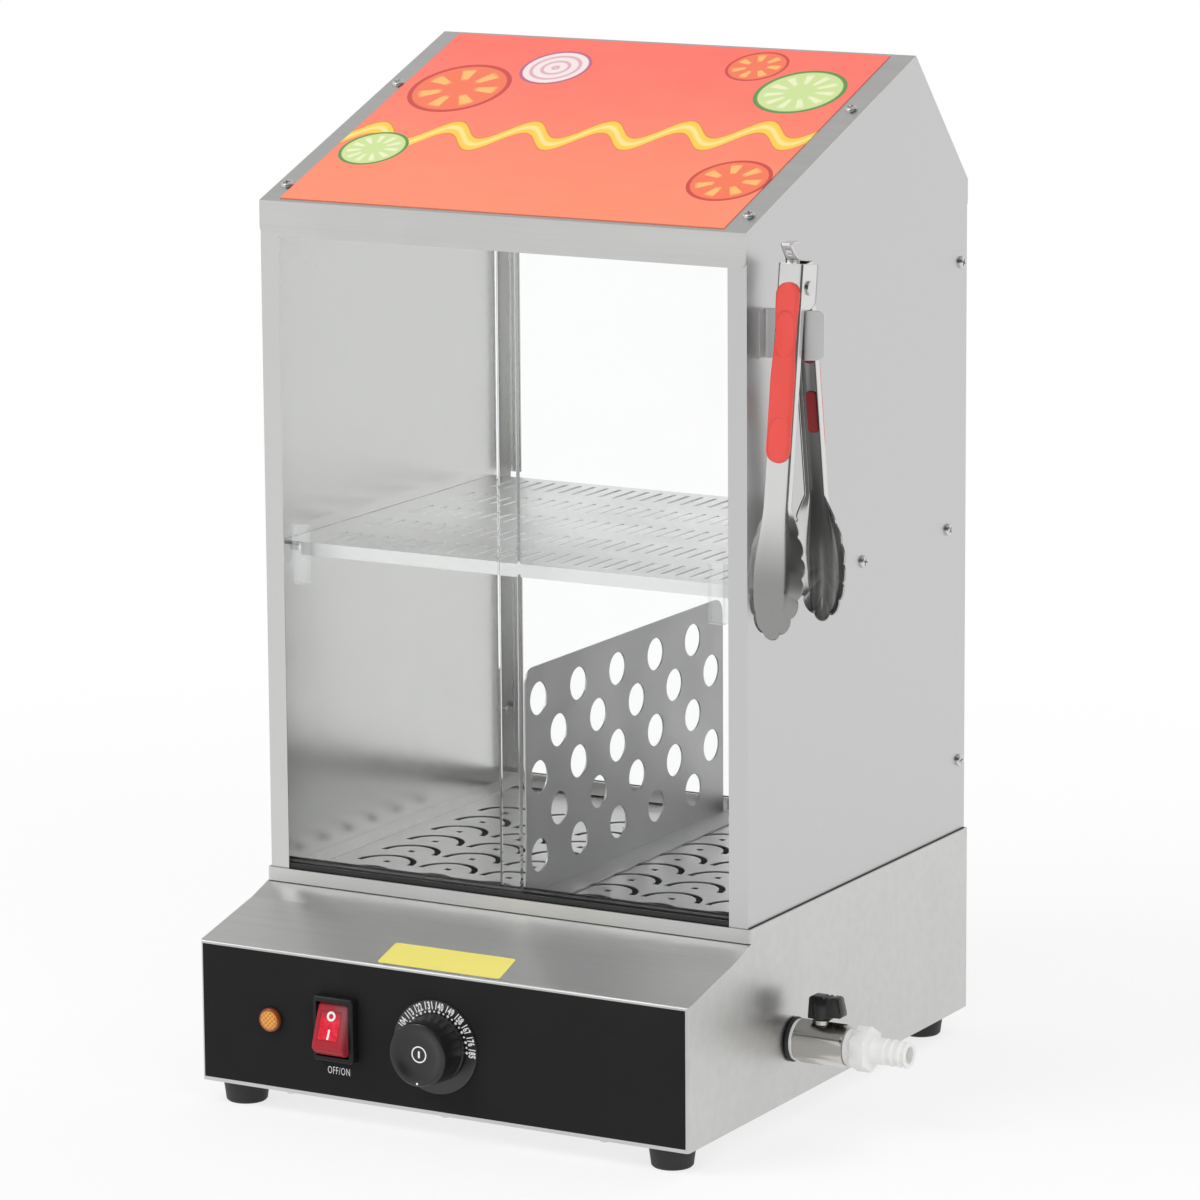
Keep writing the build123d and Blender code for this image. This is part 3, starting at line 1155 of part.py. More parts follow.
def tongs_holder():
    """Bracket on the right side: flange, straight web between the tongs' arms, and a flared end."""
    foot = HOLDER_TOP - HOLDER_HEIGHT
    near = HALF_WIDTH
    web = HOLDER_WEB_Y
    line = [
        (near + HOLDER_SHEET / 2, web - HOLDER_FLANGE),
        (near + HOLDER_SHEET / 2, web),
        (near + HOLDER_STRAIGHT, web),
        (near + HOLDER_REACH, web + HOLDER_FLARE),
    ]
    path = FilletPolyline(*line, radius=HOLDER_BEND)
    strip = trace(path, line_width=HOLDER_SHEET)
    plate = Pos(0, 0, foot) * extrude(strip, HOLDER_HEIGHT)
    middle_z = foot + HOLDER_HEIGHT / 2
    reach = near + HOLDER_REACH + HOLDER_SHEET
    shape = Pos((near + reach) / 2 - HOLDER_CORNER, middle_z) * RectangleRounded(
        reach - near + 2 * HOLDER_CORNER, HOLDER_HEIGHT, HOLDER_CORNER
    )
    flange_keep = Pos(near + 2 * HOLDER_SHEET, middle_z) * Rectangle(4 * HOLDER_SHEET, HOLDER_HEIGHT)
    window = extrude(Plane.XZ * (shape + flange_keep), -4 * HOLDER_FLANGE, both=True)
    return plate & window


def arm_frame(side, closing=0.0):
    """Frame of one arm at the pivot: side -1 hangs forwards, 1 backwards."""
    angle = -side * (ARM_TILT - closing)
    return Pos(*TONGS_PLACE) * Rot(-angle, 0, 0)


def scoop_half_width(down):
    """Half width of the scoop at a depth below the pivot, before its edge is scalloped."""
    if down > SCOOP_CENTRE:
        share = (down - SCOOP_CENTRE) / SCOOP_HALF_LENGTH
        return SCOOP_HALF_WIDTH * math.sqrt(max(0.0, 1 - share**2))
    share = (down - ARM_LENGTH) / (SCOOP_CENTRE - ARM_LENGTH)
    return ARM_WIDTH / 2 + (SCOOP_HALF_WIDTH - ARM_WIDTH / 2) * math.sin(share * math.pi / 2)


def scallop_outline():
    """(x, z) outline of the scoop: its plain outline, a little narrower, with round lobes along the edge."""
    edge = SCOOP_HALF_WIDTH - SCALLOP_RADIUS
    tip = SCOOP_HALF_LENGTH - SCALLOP_RADIUS
    plain = Ellipse(SCOOP_HALF_WIDTH - SCALLOP_NOTCH, SCOOP_HALF_LENGTH - SCALLOP_NOTCH)
    outline = Pos(0, -SCOOP_CENTRE) * plain
    downs = [ARM_LENGTH + i * SCALLOP_RADIUS for i in range(SHOULDER_POINTS)]
    shoulders = [(scoop_half_width(down) - SCALLOP_NOTCH, -down) for down in downs]
    shoulders.insert(0, (ARM_WIDTH / 2, -ARM_LENGTH + 2 * SCALLOP_RADIUS))
    left = [(-x, z) for x, z in reversed(shoulders)]
    outline += make_face(Polyline(*shoulders, *left, close=True))
    for i in range(SCALLOP_COUNT):
        angle = math.radians(-90 + (i - (SCALLOP_COUNT - 1) / 2) * SCALLOP_SPREAD / (SCALLOP_COUNT - 1))
        outline += Pos(edge * math.cos(angle), tip * math.sin(angle) - SCOOP_CENTRE) * Circle(SCALLOP_RADIUS)
    return outline


def half_ellipse(half_width, depth, chord_y, down):
    """Horizontal half-ellipse face with its round side towards -Y and its chord at chord_y."""
    face = Ellipse(half_width, depth) & Pos(0, -depth / 2) * Rectangle(2 * half_width, depth)
    return Pos(0, chord_y, -down) * face


def scoop_solid(inset):
    """Solid spoon, flared from the channel to the full width and rounded off at the tip."""
    rim = SCOOP_DEPTH - ARM_FACE
    root_rim = ARM_FLANGE - ARM_FACE
    flare_top = half_ellipse(ARM_WIDTH / 2 - inset, ARM_FLANGE - inset, root_rim, ARM_LENGTH)
    middle = (ARM_LENGTH + SCOOP_CENTRE) / 2
    middle_depth = (ARM_FLANGE + SCOOP_DEPTH) / 2
    middle_width = scoop_half_width(middle)
    flare_middle = half_ellipse(middle_width - inset, middle_depth - inset, (rim + root_rim) / 2, middle)
    flare_foot = half_ellipse(SCOOP_HALF_WIDTH - inset, SCOOP_DEPTH - inset, rim, SCOOP_CENTRE)
    flare = loft([flare_top, flare_middle, flare_foot])
    radii = (SCOOP_HALF_WIDTH - inset, SCOOP_DEPTH - inset, SCOOP_HALF_LENGTH - inset)
    ball = scale(Sphere(1), by=radii)
    size = 2 * SCOOP_HALF_LENGTH
    ball &= Pos(0, -size / 2, -size / 2) * Box(size, size, size)
    return flare + Pos(0, rim, -SCOOP_CENTRE) * ball


def scoop():
    """Spoon-shaped end of an arm, hollow inwards, with a scalloped edge and its back at -Y."""
    bowl = scoop_solid(0.0) - scoop_solid(TONGS_SHEET)
    prism = extrude(Plane.XZ * scallop_outline(), SCOOP_DEPTH + ARM_FACE, both=True)
    return bowl & prism


def channel(width, lobe_reach):
    """Straight channel of an arm with its round-ended pivot lobes, back at -Y."""
    half = width / 2
    back = -ARM_FACE
    inner = half - TONGS_SHEET
    bar = block((-half, half), (back, back + ARM_FLANGE), (-ARM_LENGTH, ARM_TOP))
    cheek = Pos((back + lobe_reach) / 2, (ARM_TOP - LOBE_RADIUS) / 2) * Rectangle(
        lobe_reach - back, ARM_TOP + LOBE_RADIUS
    )
    cheek &= Circle(LOBE_RADIUS) + Pos(0, ARM_TOP) * Rectangle(4 * ARM_FACE, 2 * ARM_TOP)
    bar += Plane.YZ.offset(-half) * extrude(cheek, width)
    return bar - block((-inner, inner), (back + TONGS_SHEET, ARM_FACE + 1), (-ARM_LENGTH, ARM_TOP))


def arm_width(side):
    """Outer width of an arm: the rear arm fits inside the front arm's lobes."""
    return ARM_WIDTH if side < 0 else ARM_WIDTH - 2 * (TONGS_SHEET + FIT_GAP)


def tongs_arm(side):
    """One arm: channel, pivot lobes, grip windows and scalloped scoop."""
    lobe_reach = ARM_FACE if side < 0 else INNER_LOBE_REACH
    arm = channel(arm_width(side), lobe_reach)
    arm -= rod_x(RIVET_RADIUS + RUNNING_GAP, (-ARM_WIDTH, ARM_WIDTH), 0, 0)
    for top, foot in GRIP_TABS:
        arm -= block(
            (-GRIP_TAB_HALF_WIDTH, GRIP_TAB_HALF_WIDTH), (-ARM_FACE, -ARM_FACE + TONGS_SHEET), (-foot, -top)
        )
    arm += scoop()
    if side > 0:
        arm = mirror(arm, Plane.XZ)
    return arm_frame(side) * arm


def tongs_grip(side):
    """Moulded grip on the arm's back, with a thumb hollow and two snap tabs."""
    face = -ARM_FACE
    middle = GRIP_TOP - GRIP_LENGTH / 2
    width = arm_width(side) - 2 * GRIP_SIDE_INSET
    pad_outline = Pos(0, middle) * SlotOverall(GRIP_LENGTH, width, rotation=90)
    pad = extrude(Plane.XZ.offset(-face) * pad_outline, GRIP_THICKNESS)
    pad = chamfer(pad.edges().group_by(Axis.Y)[0], GRIP_EDGE)
    thumb_y = face - GRIP_THICKNESS - THUMB_RADIUS + THUMB_DEPTH
    pad -= rod_x(THUMB_RADIUS, (-ARM_WIDTH, ARM_WIDTH), thumb_y, -THUMB_PLACE)
    for top, foot in GRIP_TABS:
        pad += block(
            (-GRIP_TAB_HALF_WIDTH, GRIP_TAB_HALF_WIDTH), (face, face + 2 * TONGS_SHEET), (-foot, -top)
        )
    if side > 0:
        pad = mirror(pad, Plane.XZ)
    return arm_frame(side) * pad


def tongs_pivot():
    """Rivet through both arms."""
    half = ARM_WIDTH / 2 + FIT_GAP / 2
    rivet = rod_x(RIVET_RADIUS, (-half, half), 0, 0)
    rivet += rod_x(RIVET_HEAD_RADIUS, (half, half + RIVET_HEAD), 0, 0)
    rivet += rod_x(RIVET_HEAD_RADIUS, (-half - RIVET_HEAD, -half), 0, 0)
    return Pos(*TONGS_PLACE) * rivet


def tongs_spring():
    """Coiled spring round the rivet with two legs that lie inside the arms, drawn as when shut."""
    pitch = 2 * SPRING_HALF_LENGTH / SPRING_COILS
    inner = RIVET_RADIUS + RUNNING_GAP
    valley = SPRING_RADIUS - SPRING_WIRE / 2
    points = [(-SPRING_HALF_LENGTH, inner)]
    for i in range(SPRING_COILS):
        start = -SPRING_HALF_LENGTH + i * pitch
        points.append((start, valley))
        points.append((start + pitch / 2, SPRING_RADIUS))
    points.append((SPRING_HALF_LENGTH, valley))
    points.append((SPRING_HALF_LENGTH, inner))
    spring = revolve(make_face(Polyline(*points, close=True)), Axis.X)
    for side in (-1, 1):
        x = side * (SPRING_HALF_LENGTH - SPRING_WIRE)
        spring += rod_z(SPRING_WIRE / 2, (-SPRING_LEG, 0), x, side * valley)
    return Pos(*TONGS_PLACE) * spring


def tongs_pull_tab():
    """Locking tab with a hanging hole, leaning forwards above the arms, with a folded lip."""
    y = -TAB_PLACE
    front = y - TAB_THICKNESS / 2
    rear = y + TAB_THICKNESS / 2
    lip_end = y - TAB_LEAN + TAB_LIP
    lip_foot = TAB_TOP - TAB_THICKNESS
    side = [
        (front, -TAB_FOOT), (front, TAB_BEND), (front - TAB_LEAN, TAB_TOP), (lip_end, TAB_TOP),
        (lip_end, lip_foot), (rear - TAB_LEAN, lip_foot), (rear, TAB_BEND), (rear, -TAB_FOOT),
    ]
    tab = prism_x(side, (-TAB_WIDTH / 2, TAB_WIDTH / 2))
    hole_z = (TAB_BEND + TAB_TOP) / 2
    tab -= rod_y(TAB_HOLE_RADIUS, (y - TAB_LEAN - TAB_THICKNESS, y + TAB_THICKNESS), 0, hole_z)
    return Pos(*TONGS_PLACE) * tab


# ---------------------------------------------------------------- all pieces

def build_pieces():
    """Every piece by its name."""
    rail_right = right_shelf_rail()
    panel_right = right_side_panel()
    pieces = {
        "base_shell": base_shell(),
        "console_cover": console_cover(),
        "bottom_plate": bottom_plate(),
        "base_screws": base_screws(),
        "water_tank": water_tank(),
        "heating_element": heating_element(),
        "temperature_sensor": temperature_sensor(),
        "control_overlay": control_overlay(),
        "lamp_housing": lamp_housing(),
        "lamp_lens": lamp_lens(),
        "switch_housing": switch_housing(),
        "switch_rocker": switch_rocker(),
        "dial_ring": dial_ring(),
        "control_knob": control_knob(),
        "thermostat_shaft": thermostat_shaft(),
        "thermostat_body": thermostat_body(),
        "valve_gasket": valve_gasket(),
        "valve_washer": valve_washer(),
        "valve_body": valve_body(),
        "valve_ball": valve_ball(),
        "valve_stem": valve_stem(),
        "valve_handle": valve_handle(),
        "valve_lock_nut": valve_lock_nut(),
        "hose_barb": hose_barb(),
        "cable_gland": cable_gland(),
        "terminal_block": terminal_block(),
        "bottom_frame": bottom_frame(),
        "right_side_panel": panel_right,
        "left_side_panel": mirrored(panel_right),
        "roof_cover": roof_cover(),
        "poster_panel": poster_panel(),
        "cabinet_screws": cabinet_screws(),
        "lower_door_track": lower_door_track(),
        "upper_door_track": upper_door_track(),
        "left_door_glass": door_glass(-1),
        "right_door_glass": door_glass(1),
        "left_door_pull": door_pull(-1),
        "right_door_pull": door_pull(1),
        "rear_glass": rear_glass(),
        "rear_lower_channel": rear_channel(TRACK_FOOT, True),
        "rear_upper_channel": rear_channel(REAR_RAIL_FOOT, False),
        "shelf": shelf(),
        "right_shelf_rail": rail_right,
        "left_shelf_rail": mirrored(rail_right),
        "divider": divider(),
        "left_steam_plate": steam_plate(-1),
        "right_steam_plate": steam_plate(1),
        "tongs_holder": tongs_holder(),
        "tongs_front_arm": tongs_arm(-1),
        "tongs_rear_arm": tongs_arm(1),
        "tongs_front_grip": tongs_grip(-1),
        "tongs_rear_grip": tongs_grip(1),
        "tongs_pivot": tongs_pivot(),
        "tongs_spring": tongs_spring(),
        "tongs_pull_tab": tongs_pull_tab(),
    }
    for name, (x, y) in foot_places().items():
        pieces[name] = foot(x, y)
    return pieces


os.makedirs("parts", exist_ok=True)
for node, piece in build_pieces().items():
    export_step(place(piece), f"parts/{node}.step")
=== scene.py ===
"""Looks of a countertop hot dog steamer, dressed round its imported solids.

Lengths in the classes below are millimetres in the machine's own coordinates: X is 0 on the cabinet's
middle plane and runs to its right, Y is 0 on the cabinet's front face and runs to its rear, and Z is 0 on
top of the base. Datum turns them into the row frame's metres.
"""

import json
import logging
import math
from dataclasses import dataclass, field
from enum import Enum
from functools import cache
from typing import Iterable, Sequence

import bmesh
import bpy
import numpy as np
from mathutils import Matrix, Vector


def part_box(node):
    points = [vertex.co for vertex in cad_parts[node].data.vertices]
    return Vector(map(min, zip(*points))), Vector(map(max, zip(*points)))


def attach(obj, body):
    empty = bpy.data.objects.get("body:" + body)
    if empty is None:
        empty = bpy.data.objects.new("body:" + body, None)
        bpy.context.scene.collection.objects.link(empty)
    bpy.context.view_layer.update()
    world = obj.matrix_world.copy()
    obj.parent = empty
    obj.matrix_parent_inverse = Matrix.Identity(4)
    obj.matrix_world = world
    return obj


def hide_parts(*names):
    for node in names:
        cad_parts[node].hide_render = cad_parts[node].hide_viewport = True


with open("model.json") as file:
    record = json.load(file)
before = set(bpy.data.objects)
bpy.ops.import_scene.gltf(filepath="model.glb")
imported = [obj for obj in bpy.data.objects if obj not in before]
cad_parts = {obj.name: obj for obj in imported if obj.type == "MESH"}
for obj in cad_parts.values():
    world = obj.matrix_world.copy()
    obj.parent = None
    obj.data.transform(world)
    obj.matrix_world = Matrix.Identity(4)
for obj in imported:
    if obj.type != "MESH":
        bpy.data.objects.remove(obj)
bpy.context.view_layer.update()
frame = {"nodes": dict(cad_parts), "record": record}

log = logging.getLogger("steamer")
Colour = tuple[float, float, float]
TURN = 2 * math.pi
SHARP_EDGE = 28.0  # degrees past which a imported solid's edge is bevelled
PRINT = 0.06  # thickness of a printed mark
LETTER_SPACING = 1.12


class Way(Enum):
    """Direction that a turned or extruded piece faces."""

    RIGHT = ((0, 1, 0), (0, 0, 1), (1, 0, 0))
    LEFT = ((0, -1, 0), (0, 0, 1), (-1, 0, 0))
    FRONT = ((1, 0, 0), (0, 0, 1), (0, -1, 0))
    UP = ((1, 0, 0), (0, 1, 0), (0, 0, 1))

    def matrix(self) -> np.ndarray:
        """Rows are the world directions of the piece's own x, y and z."""
        return np.array(self.value, dtype=float)


class Datum:
    """Places machine coordinates in the row frame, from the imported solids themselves."""

    def __init__(self) -> None:
        """Read the cabinet's middle, front face and foot from three nodes."""
        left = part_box("left_side_panel")[0]
        right_low, right_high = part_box("right_side_panel")
        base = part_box("bottom_frame")[0]
        self.shift = np.array([(left[0] + right_high[0]) / 2, right_low[1], base[2]])

    def metres(self, points: np.ndarray) -> np.ndarray:
        """Machine millimetres as row metres."""
        return np.asarray(points, dtype=float) / 1000.0 + self.shift

    def vector(self, x: float, y: float, z: float) -> Vector:
        """One machine point as a row-frame vector."""
        return Vector(self.metres(np.array([x, y, z])))


DATUM = Datum()
DIAL_AXIS = (-2.0, -79.1, -65.3)
ROCKER_AXIS = (-70.0, -80.0, -62.6)
ROCKER_TILT = -20.0
LAMP_AXIS = (-116.7, -79.3, -63.3)
ROOF_FRONT = 418.4  # height of the roof's lower edge
ROOF_SLOPE = 20.35
MILLIMETRES = (1000, 1000, 1000)  # stretch that turns metres into millimetres


# ---------------------------------------------------------------- surfaces


@dataclass
class Shell:
    """Points and faces of a surface, in machine millimetres."""

    points: np.ndarray
    faces: list[list[int]] = field(default_factory=list)

    def __add__(self, other: "Shell") -> "Shell":
        """Both surfaces as one."""
        start = len(self.points)
        moved = [[i + start for i in face] for face in other.faces]
        return Shell(np.vstack([self.points, other.points]), self.faces + moved)

    def placed(self, origin: Sequence[float], way: Way = Way.UP) -> "Shell":
        """The surface turned to face a way and moved to an origin."""
        return Shell(self.points @ way.matrix() + np.asarray(origin, dtype=float), self.faces)

    def turned(self, matrix: np.ndarray, origin: Sequence[float] = (0, 0, 0)) -> "Shell":
        """The surface under a 3 x 3 matrix whose rows are the new x, y and z, then moved."""
        return Shell(self.points @ matrix + np.asarray(origin, dtype=float), self.faces)


def joined(shells: Iterable[Shell]) -> Shell:
    """Several surfaces as one."""
    shells = list(shells)
    total = shells[0]
    for shell in shells[1:]:
        total = total + shell
    return total


def grid_shell(grid: np.ndarray, round_u: bool = False, round_v: bool = False, caps: bool = False) -> Shell:
    """A surface from a grid of points.

    Each grid cell is one four-sided face between neighbours in u and v.

    Args:
        grid: points as a (u, v, 3) array.
        round_u: whether the last row joins the first.
        round_v: whether the last column joins the first.
        caps: whether the first and last rows are closed by flat faces.

    Returns:
        The surface.
    """
    rows, columns = grid.shape[:2]
    index = np.arange(rows * columns).reshape(rows, columns)
    loop = index
    if round_u:
        loop = np.vstack([loop, loop[:1]])
    if round_v:
        loop = np.hstack([loop, loop[:, :1]])
    cells = np.stack([loop[:-1, :-1], loop[1:, :-1], loop[1:, 1:], loop[:-1, 1:]], axis=-1)
    faces = cells.reshape(-1, 4).tolist()
    if caps:
        faces += [index[0].tolist(), index[-1][::-1].tolist()]
    return Shell(grid.reshape(-1, 3), faces)


def lathe(profile: np.ndarray, segments: int = 48, radius_share: np.ndarray | None = None,
          ring: bool = False) -> Shell:
    """A profile of (radius, height) points turned about the z axis.

    The point at profile place i and angle a is (r_i cos a, r_i sin a, h_i). Where radius_share is given,
    a (profile, segments) array, each radius is multiplied by it, for ribs, flats or a knurl.

    Args:
        profile: (n, 2) radii and heights; a radius of 0 closes the surface.
        segments: steps round the turn.
        radius_share: multiplier of each radius.
        ring: whether the profile's last point joins its first.

    Returns:
        The turned surface.
    """
    angles = np.arange(segments) * TURN / segments
    radius = np.repeat(profile[:, :1], segments, axis=1)
    if radius_share is not None:
        radius = radius * radius_share
    height = np.repeat(profile[:, 1:], segments, axis=1)
    grid = np.stack([radius * np.cos(angles), radius * np.sin(angles), height], axis=-1)
    return grid_shell(grid, round_u=ring, round_v=True)


def softened_line(points: Sequence[tuple[float, float]], cut: float, steps: int = 4,
                  closed: bool = False) -> np.ndarray:
    """A polyline whose corners are rounded.

    Each corner is replaced by a parabola between two points that lie `cut` before and after it, or a
    third of the shorter run where that is less.

    Args:
        points: corners.
        cut: distance from a corner to where its curve starts.
        steps: runs in each curve.
        closed: whether the line closes on itself.

    Returns:
        The rounded line as an (n, 2) array.
    """
    p = np.asarray(points, dtype=float)
    before = np.roll(p, 1, axis=0)
    after = np.roll(p, -1, axis=0)
    back = before - p
    on = after - p
    back_length = np.linalg.norm(back, axis=1, keepdims=True) + 1e-9
    on_length = np.linalg.norm(on, axis=1, keepdims=True) + 1e-9
    start = p + back / back_length * np.minimum(cut, back_length / 3)
    end = p + on / on_length * np.minimum(cut, on_length / 3)
    t = np.linspace(0, 1, steps + 1)[None, :, None]
    curve = (1 - t) ** 2 * start[:, None] + 2 * t * (1 - t) * p[:, None] + t**2 * end[:, None]
    if closed:
        return curve.reshape(-1, 2)
    inner = curve[1:-1].reshape(-1, 2)
    return np.vstack([p[:1], inner, p[-1:]])


def prism(outline: np.ndarray, low: float, high: float, edge: float = 0.0) -> Shell:
    """A closed outline in x and y carried along z, with its two rims drawn in by a small bevel.

    Args:
        outline: (n, 2) closed outline, anticlockwise.
        low: start along z.
        high: end along z.
        edge: width of the bevel at both ends.

    Returns:
        The closed prism.
    """
    ahead = np.roll(outline, -1, axis=0) - np.roll(outline, 1, axis=0)
    inward = np.stack([-ahead[:, 1], ahead[:, 0]], axis=1)
    inward /= np.linalg.norm(inward, axis=1, keepdims=True) + 1e-9
    levels = [(low, 0.0), (high, 0.0)]
    if edge:
        levels = [(low, edge), (low + edge, 0.0), (high - edge, 0.0), (high, edge)]
    rows = [np.column_stack([outline + inward * draw, np.full(len(outline), z)]) for z, draw in levels]
    return grid_shell(np.stack(rows), round_v=True, caps=True)


def flats(across: float, radius: np.ndarray, segments: int) -> np.ndarray:
    """Multiplier that turns a lathe's rounds into hexagons.

    At angle a a hexagon's radius is half its width over the cosine of the angle to the nearest flat, and
    it is cut off by the round of the profile, so that the bar's ends are chamfered.

    Args:
        across: width across the flats.
        radius: the profile's radii.
        segments: steps round the turn.

    Returns:
        (profile, segments) multipliers.
    """
    angles = np.arange(segments) * TURN / segments
    off_flat = (angles + TURN / 12) % (TURN / 6) - TURN / 12
    hexagon = across / 2 / np.cos(off_flat)
    return np.minimum(hexagon[None, :], radius[:, None]) / radius[:, None]


def make_object(name: str, mesh: bpy.types.Mesh) -> bpy.types.Object:
    """Link a mesh to the scene as an object at the origin."""
    piece = bpy.data.objects.new(name, mesh)
    bpy.context.scene.collection.objects.link(piece)
    return piece


def tidy_mesh(mesh: bpy.types.Mesh, sharp: float, flat_first: bool = False) -> None:
    """Merge doubles, face outwards and shade smooth up to an angle.

    Args:
        mesh: the mesh, in metres.
        sharp: angle in degrees past which an edge stays sharp.
        flat_first: whether flat neighbours are first joined into larger faces.
    """
    work = bmesh.new()
    work.from_mesh(mesh)
    bmesh.ops.remove_doubles(work, verts=work.verts, dist=2e-6)
    if flat_first:
        bmesh.ops.dissolve_limit(work, angle_limit=math.radians(0.6), verts=work.verts, edges=work.edges)
    else:
        bmesh.ops.recalc_face_normals(work, faces=work.faces)
    work.to_mesh(mesh)
    work.free()
    mesh.polygons.foreach_set("use_smooth", np.ones(len(mesh.polygons), dtype=bool))
    mesh.set_sharp_from_angle(angle=math.radians(sharp))


def build(shell: Shell, name: str, body: str, finish: "Finish", stands_for: Sequence[str] = (),
          sharp: float = 30.0, wall: float = 0.0) -> bpy.types.Object:
    """Make a surface an object of the model.

    Args:
        shell: the surface, in machine millimetres.
        name: piece name.
        body: body that it rides on.
        finish: its finish.
        stands_for: nodes that it replaces.
        sharp: angle in degrees past which an edge stays sharp.
        wall: thickness in millimetres given to an open sheet, half to each side.

    Returns:
        The finished object.
    """
    mesh = bpy.data.meshes.new(name)
    mesh.from_pydata(DATUM.metres(shell.points).tolist(), [], shell.faces)
    tidy_mesh(mesh, sharp)
    piece = make_object(name, mesh)
    if wall:
        sheet = piece.modifiers.new("wall", "SOLIDIFY")
        sheet.thickness = wall / 1000
        sheet.offset = 0.0
        sheet.use_even_offset = True
    return adopt(piece, body, finish, stands_for)


def adopt(piece: bpy.types.Object, body: str, finish: "Finish",
          stands_for: Sequence[str] = ()) -> bpy.types.Object:
    """Give a piece its finish and body, and hide the nodes it stands for."""
    piece.data.materials.clear()
    piece.data.materials.append(finish.material())
    if stands_for:
        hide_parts(*stands_for)
    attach(piece, body)
    log.info("%s: %d faces on %s", piece.name, len(piece.data.polygons), body)
    return piece


def softened(node: str, body: str, finish: "Finish", width: float = 0.35,
             segments: int = 2) -> bpy.types.Object:
    """A copy of a node with its sharp edges rounded by a bevel, in the node's place.

    Args:
        node: node to copy and stand for.
        body: body that it rides on.
        finish: finish.
        width: bevel width in millimetres.
        segments: bevel steps.

    Returns:
        The rounded copy.
    """
    mesh = frame["nodes"][node].data.copy()
    mesh.name = node + "_soft"
    tidy_mesh(mesh, SHARP_EDGE, flat_first=True)
    piece = make_object(node + "_soft", mesh)
    bevel = piece.modifiers.new("edges", "BEVEL")
    bevel.width = width / 1000
    bevel.segments = segments
    bevel.limit_method = "ANGLE"
    bevel.angle_limit = math.radians(SHARP_EDGE)
    bevel.use_clamp_overlap = True
    bevel.harden_normals = True
    return adopt(piece, body, finish, (node,))


# ---------------------------------------------------------------- node graphs


